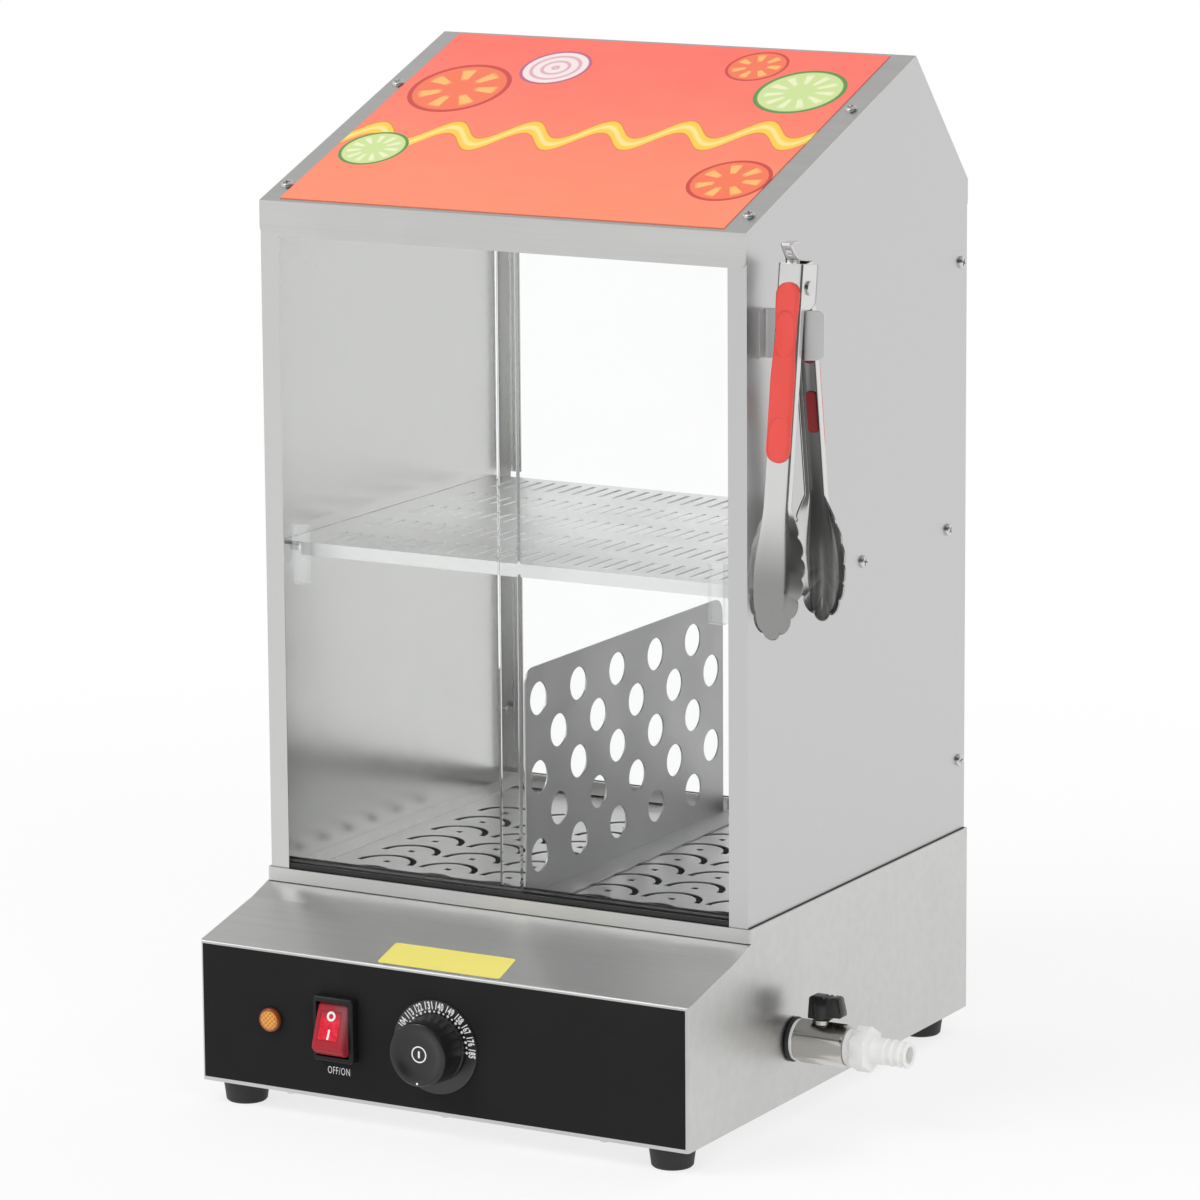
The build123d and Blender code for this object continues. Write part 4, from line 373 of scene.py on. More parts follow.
class Graph:
    """Short calls for building a node tree."""

    def __init__(self, tree: bpy.types.NodeTree) -> None:
        """Keep the tree."""
        self.tree = tree

    def node(self, kind: str, **settings: object) -> bpy.types.Node:
        """Add a node and set its properties."""
        node = self.tree.nodes.new(kind)
        for key, value in settings.items():
            setattr(node, key, value)
        return node

    def feed(self, socket: bpy.types.NodeSocket, source: object) -> None:
        """Link a socket to another, or set it to a constant."""
        if isinstance(source, bpy.types.NodeSocket):
            self.tree.links.new(source, socket)
        elif source is not None:
            if isinstance(source, (tuple, list)) and len(source) == 3 and socket.type == "RGBA":
                source = (*source, 1.0)
            socket.default_value = source

    def wired(self, kind: str, *sources: object, **settings: object) -> bpy.types.Node:
        """Add a node and feed its inputs in order."""
        node = self.node(kind, **settings)
        for socket, source in zip(node.inputs, sources):
            self.feed(socket, source)
        return node

    def fill(self, node: bpy.types.Node, **values: object) -> None:
        """Feed a node's inputs by name, with _ for each space."""
        for key, value in values.items():
            self.feed(node.inputs[key.replace("_", " ")], value)

    def math(self, operation: str, *values: object) -> bpy.types.NodeSocket:
        """One Math node."""
        return self.wired("ShaderNodeMath", *values, operation=operation).outputs[0]

    def plus(self, first: object, second: object) -> bpy.types.NodeSocket:
        """The sum of two values."""
        return self.math("ADD", first, second)

    def minus(self, first: object, second: object) -> bpy.types.NodeSocket:
        """The first value less the second."""
        return self.math("SUBTRACT", first, second)

    def times(self, first: object, second: object) -> bpy.types.NodeSocket:
        """The product of two values."""
        return self.math("MULTIPLY", first, second)

    def size(self, value: object) -> bpy.types.NodeSocket:
        """A value without its sign."""
        return self.math("ABSOLUTE", value)

    def distance(self, x: object, y: object) -> bpy.types.NodeSocket:
        """Length of the flat vector (x, y)."""
        return self.math("SQRT", self.plus(self.times(x, x), self.times(y, y)))

    def clamped(self, value: object) -> bpy.types.NodeSocket:
        """A value kept between 0 and 1."""
        return self.wired("ShaderNodeClamp", value).outputs[0]

    def ramp(self, value: object, low: float, high: float, to_low: float = 0.0,
             to_high: float = 1.0) -> bpy.types.NodeSocket:
        """A value carried smoothly from one range to another, clamped."""
        values = (value, low, high, to_low, to_high)
        return self.wired("ShaderNodeMapRange", *values, interpolation_type="SMOOTHSTEP").outputs[0]

    def mix(self, share: object, first: object, second: object) -> bpy.types.NodeSocket:
        """Two colours mixed."""
        node = self.node("ShaderNodeMix", data_type="RGBA")
        for index, source in ((0, share), (6, first), (7, second)):
            self.feed(node.inputs[index], source)
        return node.outputs[2]

    def noise(self, vector: object, scale: float, detail: float = 2.0,
              roughness: float = 0.5) -> bpy.types.NodeSocket:
        """Noise between 0 and 1."""
        node = self.node("ShaderNodeTexNoise")
        self.fill(node, Vector=vector, Scale=scale, Detail=detail, Roughness=roughness)
        return node.outputs[0]

    def place(self, vector: object, turn: Sequence[float] = (0, 0, 0),
              stretch: Sequence[float] = (1, 1, 1)) -> bpy.types.NodeSocket:
        """Coordinates turned and stretched by a Mapping node."""
        node = self.node("ShaderNodeMapping")
        self.fill(node, Vector=vector, Rotation=tuple(turn), Scale=tuple(stretch))
        return node.outputs[0]

    def vector(self, operation: str, first: object, second: object = None) -> bpy.types.NodeSocket:
        """One Vector Math node's result, a number for a length or a dot product."""
        node = self.wired("ShaderNodeVectorMath", first, second, operation=operation)
        return node.outputs["Value" if operation in ("LENGTH", "DOT_PRODUCT") else "Vector"]

    def where(self) -> bpy.types.NodeSocket:
        """Place on the object, in metres."""
        return self.node("ShaderNodeTexCoord").outputs["Object"]

    def about(self, point: Sequence[float]) -> bpy.types.NodeSocket:
        """Place on the object from a machine point, in metres."""
        return self.vector("SUBTRACT", self.where(), tuple(DATUM.vector(*point)))

    def split(self, vector: object) -> tuple[bpy.types.NodeSocket, ...]:
        """The three coordinates of a vector."""
        return tuple(self.wired("ShaderNodeSeparateXYZ", vector).outputs)

    def combine(self, x: object, y: object, z: object) -> bpy.types.NodeSocket:
        """A vector from three values."""
        return self.wired("ShaderNodeCombineXYZ", x, y, z).outputs[0]

    def bump(self, height: object, distance: float, strength: float = 1.0) -> bpy.types.NodeSocket:
        """A normal from a height in metres of distance."""
        node = self.node("ShaderNodeBump")
        self.fill(node, Height=height, Distance=distance, Strength=strength)
        return node.outputs[0]

    def group(self, effect: bpy.types.NodeTree, **values: object) -> bpy.types.Node:
        """Place a shared group with its own values."""
        node = self.node("ShaderNodeGroup", node_tree=effect)
        self.fill(node, **values)
        return node

    def marks(self, where: object, scale: float = 12.0) -> bpy.types.NodeSocket:
        """Mask of handling marks."""
        return self.group(smudge_group(), Vector=where, Scale=scale).outputs["Mask"]

    def surface(self, share: object, first: object, second: object) -> None:
        """Make a mix of two shaders the material's surface."""
        mixer = self.wired("ShaderNodeMixShader", share, first, second)
        out = next(n for n in self.tree.nodes if n.bl_idname == "ShaderNodeOutputMaterial")
        self.feed(out.inputs["Surface"], mixer.outputs[0])


def new_group(name: str, inputs: Sequence[tuple[str, str, object]],
              outputs: Sequence[tuple[str, str]]) -> tuple:
    """Start a shared node group.

    Args:
        name: group name.
        inputs: (name, socket kind, default value).
        outputs: (name, socket kind).

    Returns:
        The group, its graph, its input node and its output node.
    """
    tree = bpy.data.node_groups.new(name, "ShaderNodeTree")
    for title, kind, value in inputs:
        socket = tree.interface.new_socket(name=title, in_out="INPUT", socket_type="NodeSocket" + kind)
        if value is not None:
            socket.default_value = value
    for title, kind in outputs:
        tree.interface.new_socket(name=title, in_out="OUTPUT", socket_type="NodeSocket" + kind)
    graph = Graph(tree)
    return tree, graph, graph.node("NodeGroupInput"), graph.node("NodeGroupOutput")


@cache
def grain_group() -> bpy.types.NodeTree:
    """Brushed grain: long fine scratches along one axis, with a height and a tone."""
    tree, g, enter, leave = new_group(
        "brushed_grain", [("Vector", "Vector", None), ("Stretch", "Vector", (1.0, 1.0, 1.0))],
        [("Height", "Float"), ("Tone", "Float")],
    )
    scaled = g.vector("MULTIPLY", enter.outputs["Vector"], enter.outputs["Stretch"])
    fine = g.noise(scaled, 1.0, 3.0, 0.6)
    broad = g.noise(scaled, 0.16, 2.0, 0.5)
    g.fill(leave, Height=fine, Tone=g.plus(g.times(fine, 0.45), g.times(broad, 0.55)))
    return tree


@cache
def smudge_group() -> bpy.types.NodeTree:
    """Handling marks: soft clouds with a few faint wiped streaks, between 0 and 1."""
    tree, g, enter, leave = new_group(
        "handling_marks", [("Vector", "Vector", None), ("Scale", "Float", 12.0)], [("Mask", "Float")]
    )
    where = enter.outputs["Vector"]
    clouds = g.noise(where, enter.outputs["Scale"], 4.0, 0.55)
    streaks = g.noise(g.place(where, turn=(0.4, 0.2, 0.7), stretch=(1, 6, 2)), 9.0, 3.0, 0.6)
    total = g.plus(g.times(clouds, 0.65), g.times(streaks, 0.35))
    g.fill(leave, Mask=g.ramp(total, 0.36, 0.66))
    return tree


@cache
def speckle_group() -> bpy.types.NodeTree:
    """Spark-eroded mould texture: a fine pebble height and a slow sheen mask."""
    tree, g, enter, leave = new_group(
        "mould_texture", [("Vector", "Vector", None), ("Scale", "Float", 900.0)],
        [("Height", "Float"), ("Sheen", "Float")],
    )
    where = enter.outputs["Vector"]
    pebbles = g.noise(where, enter.outputs["Scale"], 2.0, 0.6)
    g.fill(leave, Height=pebbles, Sheen=g.noise(where, 35.0, 3.0, 0.5))
    return tree


# ---------------------------------------------------------------- finishes


@dataclass(frozen=True)
class Finish:
    """A named finish; each kind fills its own material."""

    name: str

    def material(self) -> bpy.types.Material:
        """The material, built once."""
        name = "finish_" + self.name
        if name in bpy.data.materials:
            return bpy.data.materials[name]
        material = bpy.data.materials.new(name)
        material.use_nodes = True
        graph = Graph(material.node_tree)
        self.fill(graph, material.node_tree.nodes["Principled BSDF"])
        return material

    def fill(self, g: Graph, shader: bpy.types.Node) -> None:
        """Set the shader up."""
        raise NotImplementedError


class Grain(Enum):
    """Which way a sheet is brushed: how often its grain repeats in a metre along x, y and z."""

    ALONG_X = (9.0, 900.0, 900.0)
    NONE = (260.0, 260.0, 260.0)


def shade(colour: Colour, share: float) -> Colour:
    """A colour made lighter or darker by a share, no channel above 1."""
    return tuple(min(1.0, c * share) for c in colour)


@dataclass(frozen=True)
class SheetSteel(Finish):
    """Brushed or bright metal with grain, slow tone changes and handling marks."""

    colour: Colour = (0.62, 0.62, 0.61)
    roughness: float = 0.26
    grain: Grain = Grain.NONE
    depth: float = 0.000012
    tone: float = 0.12
    marks: float = 0.10

    def fill(self, g: Graph, shader: bpy.types.Node) -> None:
        """Metal whose colour and roughness follow the grain and the marks."""
        where = g.where()
        grain = g.group(grain_group(), Vector=where, Stretch=self.grain.value)
        tone = grain.outputs["Tone"]
        rough = g.plus(self.roughness, g.times(g.marks(where), self.marks))
        g.fill(
            shader,
            Base_Color=g.mix(tone, shade(self.colour, 1 - self.tone), shade(self.colour, 1 + self.tone)),
            Roughness=g.plus(rough, g.times(tone, 0.08)),
            Metallic=1.0,
            Normal=g.bump(grain.outputs["Height"], self.depth, 0.6),
        )


@dataclass(frozen=True)
class TongsSteel(SheetSteel):
    """Polished sheet with painted shade on its hollow side, save where it faces right or up."""

    colour: Colour = (0.70, 0.70, 0.69)
    roughness: float = 0.16
    depth: float = 0.000004
    tone: float = 0.05
    inward: float = 1.0
    # share of the colour kept in the painted shade on the hollow side
    hollow: float = 0.26
    # share of the colour kept where the painted shade down the scoop is deepest
    scoop_painted_shade: float = 0.42

    def fill(self, g: Graph, shader: bpy.types.Node) -> None:
        """Paint shade on the faces whose normal points along y to the inside, with a slow painted reflection
        streak left in.

        Every face also gets painted shade that deepens down the scoop, between two heights.
        """
        super().fill(g, shader)
        where = g.where()
        across, facing, up = g.split(g.node("ShaderNodeNewGeometry").outputs["Normal"])
        # painted shade on faces turned to the inside, mostly left off where they turn right or up
        inside = g.ramp(g.times(facing, self.inward), 0.0, 0.45)
        lit = g.math("MAXIMUM", g.ramp(across, 0.25, 0.5), g.ramp(up, 0.3, 0.65))
        # a slow lighter streak in the painted shade: a painted reflection
        streak = g.ramp(g.noise(g.place(where, stretch=(120, 60, 7)), 1.0), 0.45, 0.75)
        shaded_colour = g.mix(streak, shade(self.colour, self.hollow), shade(self.colour, self.hollow * 2.6))
        plain = shader.inputs["Base Color"].links[0].from_socket
        shaded_colour = g.mix(g.times(lit, 0.8), shaded_colour, plain)
        _, _, height = g.split(where)
        # painted shade that deepens down the scoop
        plain = g.mix(g.ramp(height, 0.384, 0.336, 1.0, self.scoop_painted_shade), (0, 0, 0), plain)
        g.fill(shader, Base_Color=g.mix(inside, plain, shaded_colour))


@dataclass(frozen=True)
class Moulded(Finish):
    """Moulded plastic, rubber or film with a fine texture and a slow change of sheen."""

    colour: Colour = (0.02, 0.02, 0.02)
    roughness: float = 0.4
    texture: float = 0.00003
    scale: float = 900.0
    spread: float = 0.12
    lift: float = 0.35
    through: float = 0.0
    specular: float = 0.5

    def fill(self, g: Graph, shader: bpy.types.Node) -> None:
        """Plastic whose colour lightens a little where the sheen mask is high."""
        where = g.where()
        speckle = g.group(speckle_group(), Vector=where, Scale=self.scale)
        light = tuple(min(1.0, c * (1 + self.lift) + 0.002) for c in self.colour)
        g.fill(
            shader,
            Base_Color=g.mix(g.times(speckle.outputs["Sheen"], 0.6), self.colour, light),
            Roughness=g.plus(self.roughness, g.times(g.marks(where, 24.0), self.spread)),
            Normal=g.bump(speckle.outputs["Height"], self.texture, 0.5),
            Specular_IOR_Level=self.specular,
            Subsurface_Weight=self.through,
            Subsurface_Radius=(0.004, 0.002, 0.001),
        )


@dataclass(frozen=True)
class LitRocker(Finish):
    """Translucent red rocker: a brighter window inside a duller rim that turns greyer towards its upper
    right.
    """

    rim: Colour = (0.40, 0.022, 0.035)
    rim_upper_right: Colour = (0.27, 0.075, 0.085)
    window: Colour = (0.74, 0.012, 0.035)
    cloudy: Colour = (0.80, 0.055, 0.085)
    upper: Colour = (0.36, 0.035, 0.055)
    edge: Colour = (0.16, 0.01, 0.015)
    middle: tuple[float, float] = (-0.8, 0.4)
    half_size: tuple[float, float] = (6.9, 8.8)

    def fill(self, g: Graph, shader: bpy.types.Node) -> None:
        """Mask a rounded window in the rocker's own x and z, in millimetres from its axis."""
        turn = (math.radians(-ROCKER_TILT), 0, 0)
        x, _, z = g.split(g.place(g.about(ROCKER_AXIS), turn=turn, stretch=MILLIMETRES))
        off_x = g.minus(g.size(g.minus(x, self.middle[0])), self.half_size[0])
        off_z = g.minus(g.size(g.minus(z, self.middle[1])), self.half_size[1])
        off = g.math("MAXIMUM", off_x, off_z)
        cloud = g.noise(g.where(), 240.0, 3.0, 0.6)
        # the rim turns greyer towards its upper right
        rim = g.mix(g.ramp(g.plus(x, g.times(z, 0.45)), 2.0, 13.0), self.rim, self.rim_upper_right)
        window = g.mix(g.ramp(cloud, 0.4, 0.7), self.window, self.cloudy)
        window = g.mix(g.ramp(z, 3.0, 9.5), window, self.upper)
        colour = g.mix(g.ramp(off, 0.5, -0.5), rim, window)
        g.fill(
            shader,
            Base_Color=g.mix(g.times(g.ramp(g.size(off), 0.7, 0.1), 0.55), colour, self.edge),
            Roughness=g.plus(0.24, g.times(cloud, 0.1)),
            Specular_IOR_Level=0.25,
            Subsurface_Weight=0.2,
            Subsurface_Radius=(0.004, 0.001, 0.001),
        )


@dataclass(frozen=True)
class FacetedLens(Finish):
    """Amber lens with two crossed sets of fine ridges and a darker rim."""

    middle: Colour = (0.93, 0.40, 0.025)
    groove: Colour = (0.48, 0.12, 0.008)
    cloudy: Colour = (0.98, 0.52, 0.12)
    rim: Colour = (0.24, 0.045, 0.006)
    pitch: float = 1.5

    def fill(self, g: Graph, shader: bpy.types.Node) -> None:
        """Ridges are saw waves of x + z and x - z, and the rim is told by the radius from the axis."""
        x, _, z = g.split(g.place(g.about(LAMP_AXIS), stretch=MILLIMETRES))
        radius = g.distance(x, z)
        ridges = g.plus(g.math("PINGPONG", g.plus(x, z), self.pitch),
                        g.math("PINGPONG", g.minus(x, z), self.pitch))
        cloud = g.marks(g.where(), 60.0)
        tone = g.mix(g.ramp(ridges, 0.6, 2.4), self.groove, self.middle)
        tone = g.mix(g.times(cloud, 0.3), tone, self.cloudy)
        g.fill(
            shader,
            Base_Color=g.mix(g.ramp(radius, 5.5, 6.1), tone, self.rim),
            Roughness=g.plus(0.12, g.times(cloud, 0.08)),
            Normal=g.bump(g.times(ridges, g.ramp(radius, 5.6, 5.0)), 0.00025, 0.8),
            Coat_Weight=0.5,
        )


@dataclass(frozen=True)
class ClearSheet(Finish):
    """Clear glass that lets light through to what stands behind it."""

    colour: Colour = (0.992, 0.998, 0.995)
    index: float = 1.22

    def fill(self, g: Graph, shader: bpy.types.Node) -> None:
        """Transmission for the eye and plain transparency for shadow rays."""
        tint = g.mix(g.times(g.marks(g.where(), 7.0), 0.5), self.colour, shade(self.colour, 0.99))
        g.fill(shader, Roughness=0.0, Base_Color=tint, Transmission_Weight=1.0, IOR=self.index)
        clear = g.wired("ShaderNodeBsdfTransparent", tuple(c**0.5 for c in self.colour))
        shadow = g.node("ShaderNodeLightPath").outputs["Is Shadow Ray"]
        g.surface(shadow, shader.outputs[0], clear.outputs[0])


@dataclass(frozen=True)
class ThinAcrylic(Finish):
    """Clear moulded acrylic: nearly see-through face on, paler and more solid where it is seen edge on."""

    colour: Colour = (0.86, 0.88, 0.89)
    face: float = 0.10
    edge: float = 0.62

    def fill(self, g: Graph, shader: bpy.types.Node) -> None:
        """Alpha follows the facing angle, with faint handling marks in it."""
        marks = g.marks(g.where(), 40.0)
        facing = g.wired("ShaderNodeLayerWeight", 0.4).outputs["Facing"]
        solid = g.ramp(facing, 0.25, 0.95, self.face, self.edge)
        g.fill(
            shader,
            Base_Color=g.mix(marks, self.colour, shade(self.colour, 0.94)),
            Alpha=g.plus(solid, g.times(marks, 0.05)),
            Roughness=g.plus(0.06, g.times(marks, 0.05)),
        )


@dataclass(frozen=True)
class SpunDial(Finish):
    """Dark scale disc with a fine concentric turning that fans its highlight."""

    colour: Colour = (0.05, 0.05, 0.052)

    def fill(self, g: Graph, shader: bpy.types.Node) -> None:
        """Bump from noise of the radius alone, so that every groove is a ring about the axis."""
        x, _, z = g.split(g.about(DIAL_AXIS))
        groove = g.noise(g.combine(g.distance(x, z), 0.0, 0.0), 4200.0, 2.0, 0.6)
        g.fill(
            shader,
            Base_Color=g.mix(groove, self.colour, shade(self.colour, 1.5)),
            Metallic=0.85,
            Roughness=g.plus(0.24, g.times(groove, 0.1)),
            Normal=g.bump(groove, 0.00006, 0.8),
        )


@dataclass(frozen=True)
class Slice:
    """A round printed slice of food: centre across and up and radius in centimetres, colours and seeds."""

    across: float
    up: float
    radius: float
    skin: Colour
    flesh: Colour
    seeds: Colour
    seed_count: int

    def over(self, g: Graph, colour: object, across: object, up: object) -> bpy.types.NodeSocket:
        """The print with this slice on it: a skin ring, flesh and a wheel of seeds, or rings without them."""
        dx, dy = g.minus(across, self.across), g.minus(up, self.up)
        r = g.math("DIVIDE", g.distance(dx, dy), self.radius)
        if self.seed_count:
            wheel = g.math("COSINE", g.times(g.math("ARCTAN2", dy, dx), float(self.seed_count)))
            inside = g.times(g.ramp(g.size(g.minus(r, 0.56)), 0.26, 0.14), g.ramp(wheel, 0.05, 0.5))
        else:
            inside = g.ramp(g.math("SINE", g.times(r, 21.0)), 0.2, 0.75)
        body = g.mix(g.ramp(r, 0.88, 0.92), g.mix(inside, self.flesh, self.seeds), self.skin)
        return g.mix(g.ramp(r, 1.0, 0.985), colour, body)


TOMATO = ((0.62, 0.02, 0.01), (0.95, 0.16, 0.05), (1.0, 0.5, 0.12), 7)
CUCUMBER = ((0.08, 0.26, 0.03), (0.62, 0.78, 0.3), (0.86, 0.9, 0.55), 11)
ONION = ((0.5, 0.1, 0.22), (0.93, 0.8, 0.78), (0.75, 0.42, 0.5), 0)


@dataclass(frozen=True)
class FoodPrint(Finish):
    """Glossy printed film: a warm gradient with a wavy sauce band and round food slices."""

    low: Colour = (1.0, 0.235, 0.11)
    high: Colour = (1.0, 0.125, 0.085)
    cloudy: Colour = (1.0, 0.33, 0.2)
    sauce: Colour = (1.0, 0.62, 0.03)
    sauce_edge: Colour = (0.85, 0.2, 0.02)
    sauce_core: Colour = (1.0, 0.86, 0.35)
    slices: tuple[Slice, ...] = (
        Slice(-11.2, 15.6, 3.3, *TOMATO), Slice(-6.2, 19.0, 2.3, *ONION), Slice(11.4, 17.6, 2.9, *CUCUMBER),
        Slice(7.0, 20.6, 2.0, *TOMATO), Slice(-12.6, 7.2, 2.2, *CUCUMBER), Slice(12.4, 6.0, 2.6, *TOMATO),
    )

    def fill(self, g: Graph, shader: bpy.types.Node) -> None:
        """Lay the print out in centimetres across and up the slope."""
        turn = (-math.radians(ROOF_SLOPE), 0, 0)
        flat = g.place(g.about((0, 0, ROOF_FRONT)), turn=turn, stretch=(100, 100, 100))
        across, up, _ = g.split(flat)
        colour = g.mix(g.ramp(up, 1.0, 22.0), self.low, self.high)
        colour = g.mix(g.times(g.noise(flat, 0.35), 0.22), colour, self.cloudy)
        colour = self.band(g, colour, across, up)
        for piece in self.slices:
            colour = piece.over(g, colour, across, up)
        rough = g.plus(0.3, g.times(g.marks(g.where(), 9.0), 0.12))
        g.fill(shader, Base_Color=colour, Roughness=rough, Coat_Weight=0.35, Coat_Roughness=0.18)

    def band(self, g: Graph, colour: object, across: object, up: object) -> bpy.types.NodeSocket:
        """A sauce line whose middle follows a sine across the slope, with a lighter core."""
        wave = g.times(g.math("SINE", g.times(across, 1.25)), 1.15)
        off = g.size(g.minus(up, g.plus(g.plus(wave, 10.4), g.times(across, 0.12))))
        colour = g.mix(g.ramp(off, 0.95, 0.8), colour, self.sauce_edge)
        colour = g.mix(g.ramp(off, 0.8, 0.68), colour, self.sauce)
        return g.mix(g.times(g.ramp(off, 0.35, 0.1), 0.7), colour, self.sauce_core)


def grey(level: float) -> Colour:
    """A colour without hue."""
    return (level, level, level)


FINE = 0.000004  # relief of a polished sheet's grain, in metres
BRUSHED = SheetSteel("steel_grain_across", grain=Grain.ALONG_X)
# nearly black steel: painted shade for the tank, seen only under the plates
TANK_SHADED_STEEL = SheetSteel("steel_tank_painted_shade", grey(0.10), 0.4)
BRIGHT = SheetSteel("zinc_bright", (0.68, 0.68, 0.67), 0.2, tone=0.06)
TUBE = SheetSteel("steel_tube", (0.42, 0.42, 0.43), 0.36)
NICKEL = SheetSteel("nickel_plate", (0.60, 0.58, 0.55), 0.14, tone=0.05, depth=FINE)
POLISHED = SheetSteel("steel_polished", (0.66, 0.66, 0.65), 0.13, tone=0.04, depth=FINE)
SHEET_PLAIN = SheetSteel("steel_plain", grey(0.58), 0.25, depth=0.0000008, tone=0.02, marks=0.0)
SHEET_INNER = SheetSteel("steel_left_wall", (0.60, 0.60, 0.59), 0.17, depth=0.000001, tone=0.04, marks=0.03)
# lighter than the other steel: a painted reflection of the white beyond the shelf
SHELF_STEEL = SheetSteel("steel_shelf", grey(0.82), 0.34, Grain.ALONG_X, tone=0.05)
PLATE_STEEL = SheetSteel("steel_plate", (0.58, 0.58, 0.575), 0.3, Grain.ALONG_X, tone=0.06)
DIVIDER_STEEL = SheetSteel("steel_divider", grey(0.47), 0.42, depth=FINE, tone=0.04)
# a lighter copy of the steel, painted light, for the holder and the pull tab
LIT_STEEL = SheetSteel("steel_painted_light", grey(0.84), 0.3, tone=0.04)
ARM_FRONT = TongsSteel("arm_front")
ARM_REAR = TongsSteel("arm_rear", inward=-1.0)
OVERLAY = Moulded("film_black", grey(0.0145), 0.5, texture=0.000012, scale=1600.0, specular=0.1)
PLASTIC = Moulded("plastic_black", grey(0.010), 0.3, specular=0.25)
KNOB_BLACK = Moulded("knob_black", grey(0.011), 0.27, texture=0.00002)
LEVER_BLACK = Moulded("lever_black", grey(0.009), 0.2, texture=0.00001)
RUBBER = Moulded("rubber_black", grey(0.018), 0.55, texture=0.00005, scale=700.0)
TRACK = Moulded("track_black", (0.018, 0.018, 0.019), 0.42, texture=0.00002)
NYLON = Moulded("nylon_white", (0.82, 0.82, 0.80), 0.38, through=0.15)
CERAMIC = Moulded("case_pale", (0.75, 0.74, 0.70), 0.6)
PRINT_WHITE = Moulded("print_white", grey(0.82), 0.45, texture=0.0)
STICKER = Moulded("sticker_yellow", (0.90, 0.80, 0.19), 0.5, texture=0.00001, lift=0.1)
CORAL = Moulded("grip_coral", (0.68, 0.066, 0.052), 0.34, texture=0.00004, scale=800.0, spread=0.1)
# the grip's coral darkened as painted shade, for the tabs on the arms' inner side
CORAL_SHADED = Moulded("grip_coral_painted_shade", (0.33, 0.016, 0.02), 0.3, texture=0.00004, scale=800.0)
AMBER = FacetedLens("amber_lens")
ROCKER_RED = LitRocker("rocker_red")
DIAL_FINISH = SpunDial("scale_black")
GLASS = ClearSheet("glass_clear")
ACRYLIC = ThinAcrylic("acrylic_clear")
POSTER = FoodPrint("poster_print")

SLOT_FINISH: dict[str, Finish] = {
    "stainless": BRUSHED, "screw_steel": BRIGHT, "element_steel": TUBE, "overlay_black": OVERLAY,
    "black_plastic": PLASTIC, "dial_black": DIAL_FINISH, "amber_lens": AMBER, "red_rocker": ROCKER_RED,
    "thermostat_case": CERAMIC, "nickel": NICKEL, "black_rubber": RUBBER, "white_nylon": NYLON,
    "poster_print": POSTER, "track_black": TRACK, "clear_glass": GLASS, "clear_acrylic": ACRYLIC,
    "coral_grip": CORAL,
}
NODE_FINISH: dict[str, Finish] = {
    "water_tank": TANK_SHADED_STEEL, "shelf": SHELF_STEEL, "left_steam_plate": PLATE_STEEL,
    "right_steam_plate": PLATE_STEEL, "left_side_panel": SHEET_INNER, "right_side_panel": SHEET_PLAIN,
    "divider": DIVIDER_STEEL, "rear_lower_channel": POLISHED, "rear_upper_channel": POLISHED,
}


def dress_nodes() -> None:
    """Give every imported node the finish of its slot, or its own."""
    slots = {entry["node"]: entry["material_slot"] for entry in frame["record"]["subparts"]}
    for name, node in frame["nodes"].items():
        finish = NODE_FINISH.get(name, SLOT_FINISH[slots[name]])
        node.data.materials.clear()
        node.data.materials.append(finish.material())
    log.info("nodes dressed: %d", len(frame["nodes"]))


# ---------------------------------------------------------------- control panel


def lettering(text: str, width: float, height: float, weight: float = 0.034) -> Shell:
    """Raised print of a short generic text, centred on its middle and facing z.

    The letters are outlined by the built-in face, made a mesh and stretched to the box asked for.

    Args:
        text: the letters.
        width: overall width in millimetres.
        height: overall height in millimetres.
        weight: how far the strokes are thickened, in letter sizes.

    Returns:
        The closed print.
    """
    curve = bpy.data.curves.new("print_curve", "FONT")
    curve.body = text
    curve.extrude = 0.5
    curve.offset = weight
    curve.space_character = LETTER_SPACING
    curve.resolution_u = 3
    holder = bpy.data.objects.new("print_curve", curve)
    bpy.context.scene.collection.objects.link(holder)
    mesh = bpy.data.meshes.new_from_object(holder.evaluated_get(bpy.context.evaluated_depsgraph_get()))
    points = np.empty(len(mesh.vertices) * 3)
    mesh.vertices.foreach_get("co", points)
    points = points.reshape(-1, 3)
    faces = [list(face.vertices) for face in mesh.polygons]
    bpy.data.objects.remove(holder)
    bpy.data.curves.remove(curve)
    bpy.data.meshes.remove(mesh)
    low, high = points.min(axis=0), points.max(axis=0)
    points = (points - (low + high) / 2) / (high - low) * np.array([width, height, PRINT])
    points[:, 2] += PRINT / 2
    return Shell(points, faces)


def disc(radius: float) -> Shell:
    """A flat printed dot that faces z."""
    return lathe(np.array([(0, 0), (radius, 0), (radius, PRINT), (0, PRINT)], dtype=float), 20)


def hoop(inner: float, outer: float, segments: int = 40) -> Shell:
    """A flat printed ring that faces z: a small rectangle turned about z."""
    rim = np.array([(inner, 0), (outer, 0), (outer, PRINT), (inner, PRINT)], dtype=float)
    return lathe(rim, segments, ring=True)


def rounded_box(half_x: float, half_z: float, corner: float, steps: int = 6) -> np.ndarray:
    """Closed anticlockwise outline of a rectangle with round corners, four arcs of equal steps."""
    corner = min(corner, half_x, half_z)
    turn = np.linspace(0, TURN / 4, steps + 1)
    arcs = []
    for i, (sx, sz) in enumerate([(1, 1), (-1, 1), (-1, -1), (1, -1)]):
        angle = turn + i * TURN / 4
        centre = (sx * (half_x - corner), sz * (half_z - corner))
        arcs.append(np.column_stack([centre[0] + corner * np.cos(angle), centre[1] + corner * np.sin(angle)]))
    return np.vstack(arcs)


def tilt_matrix(degrees: float) -> np.ndarray:
    """Rows for Shell.turned: a turn about x, positive from y towards z."""
    angle = math.radians(degrees)
    c, s = math.cos(angle), math.sin(angle)
    return np.array([[1, 0, 0], [0, c, s], [0, -s, c]])


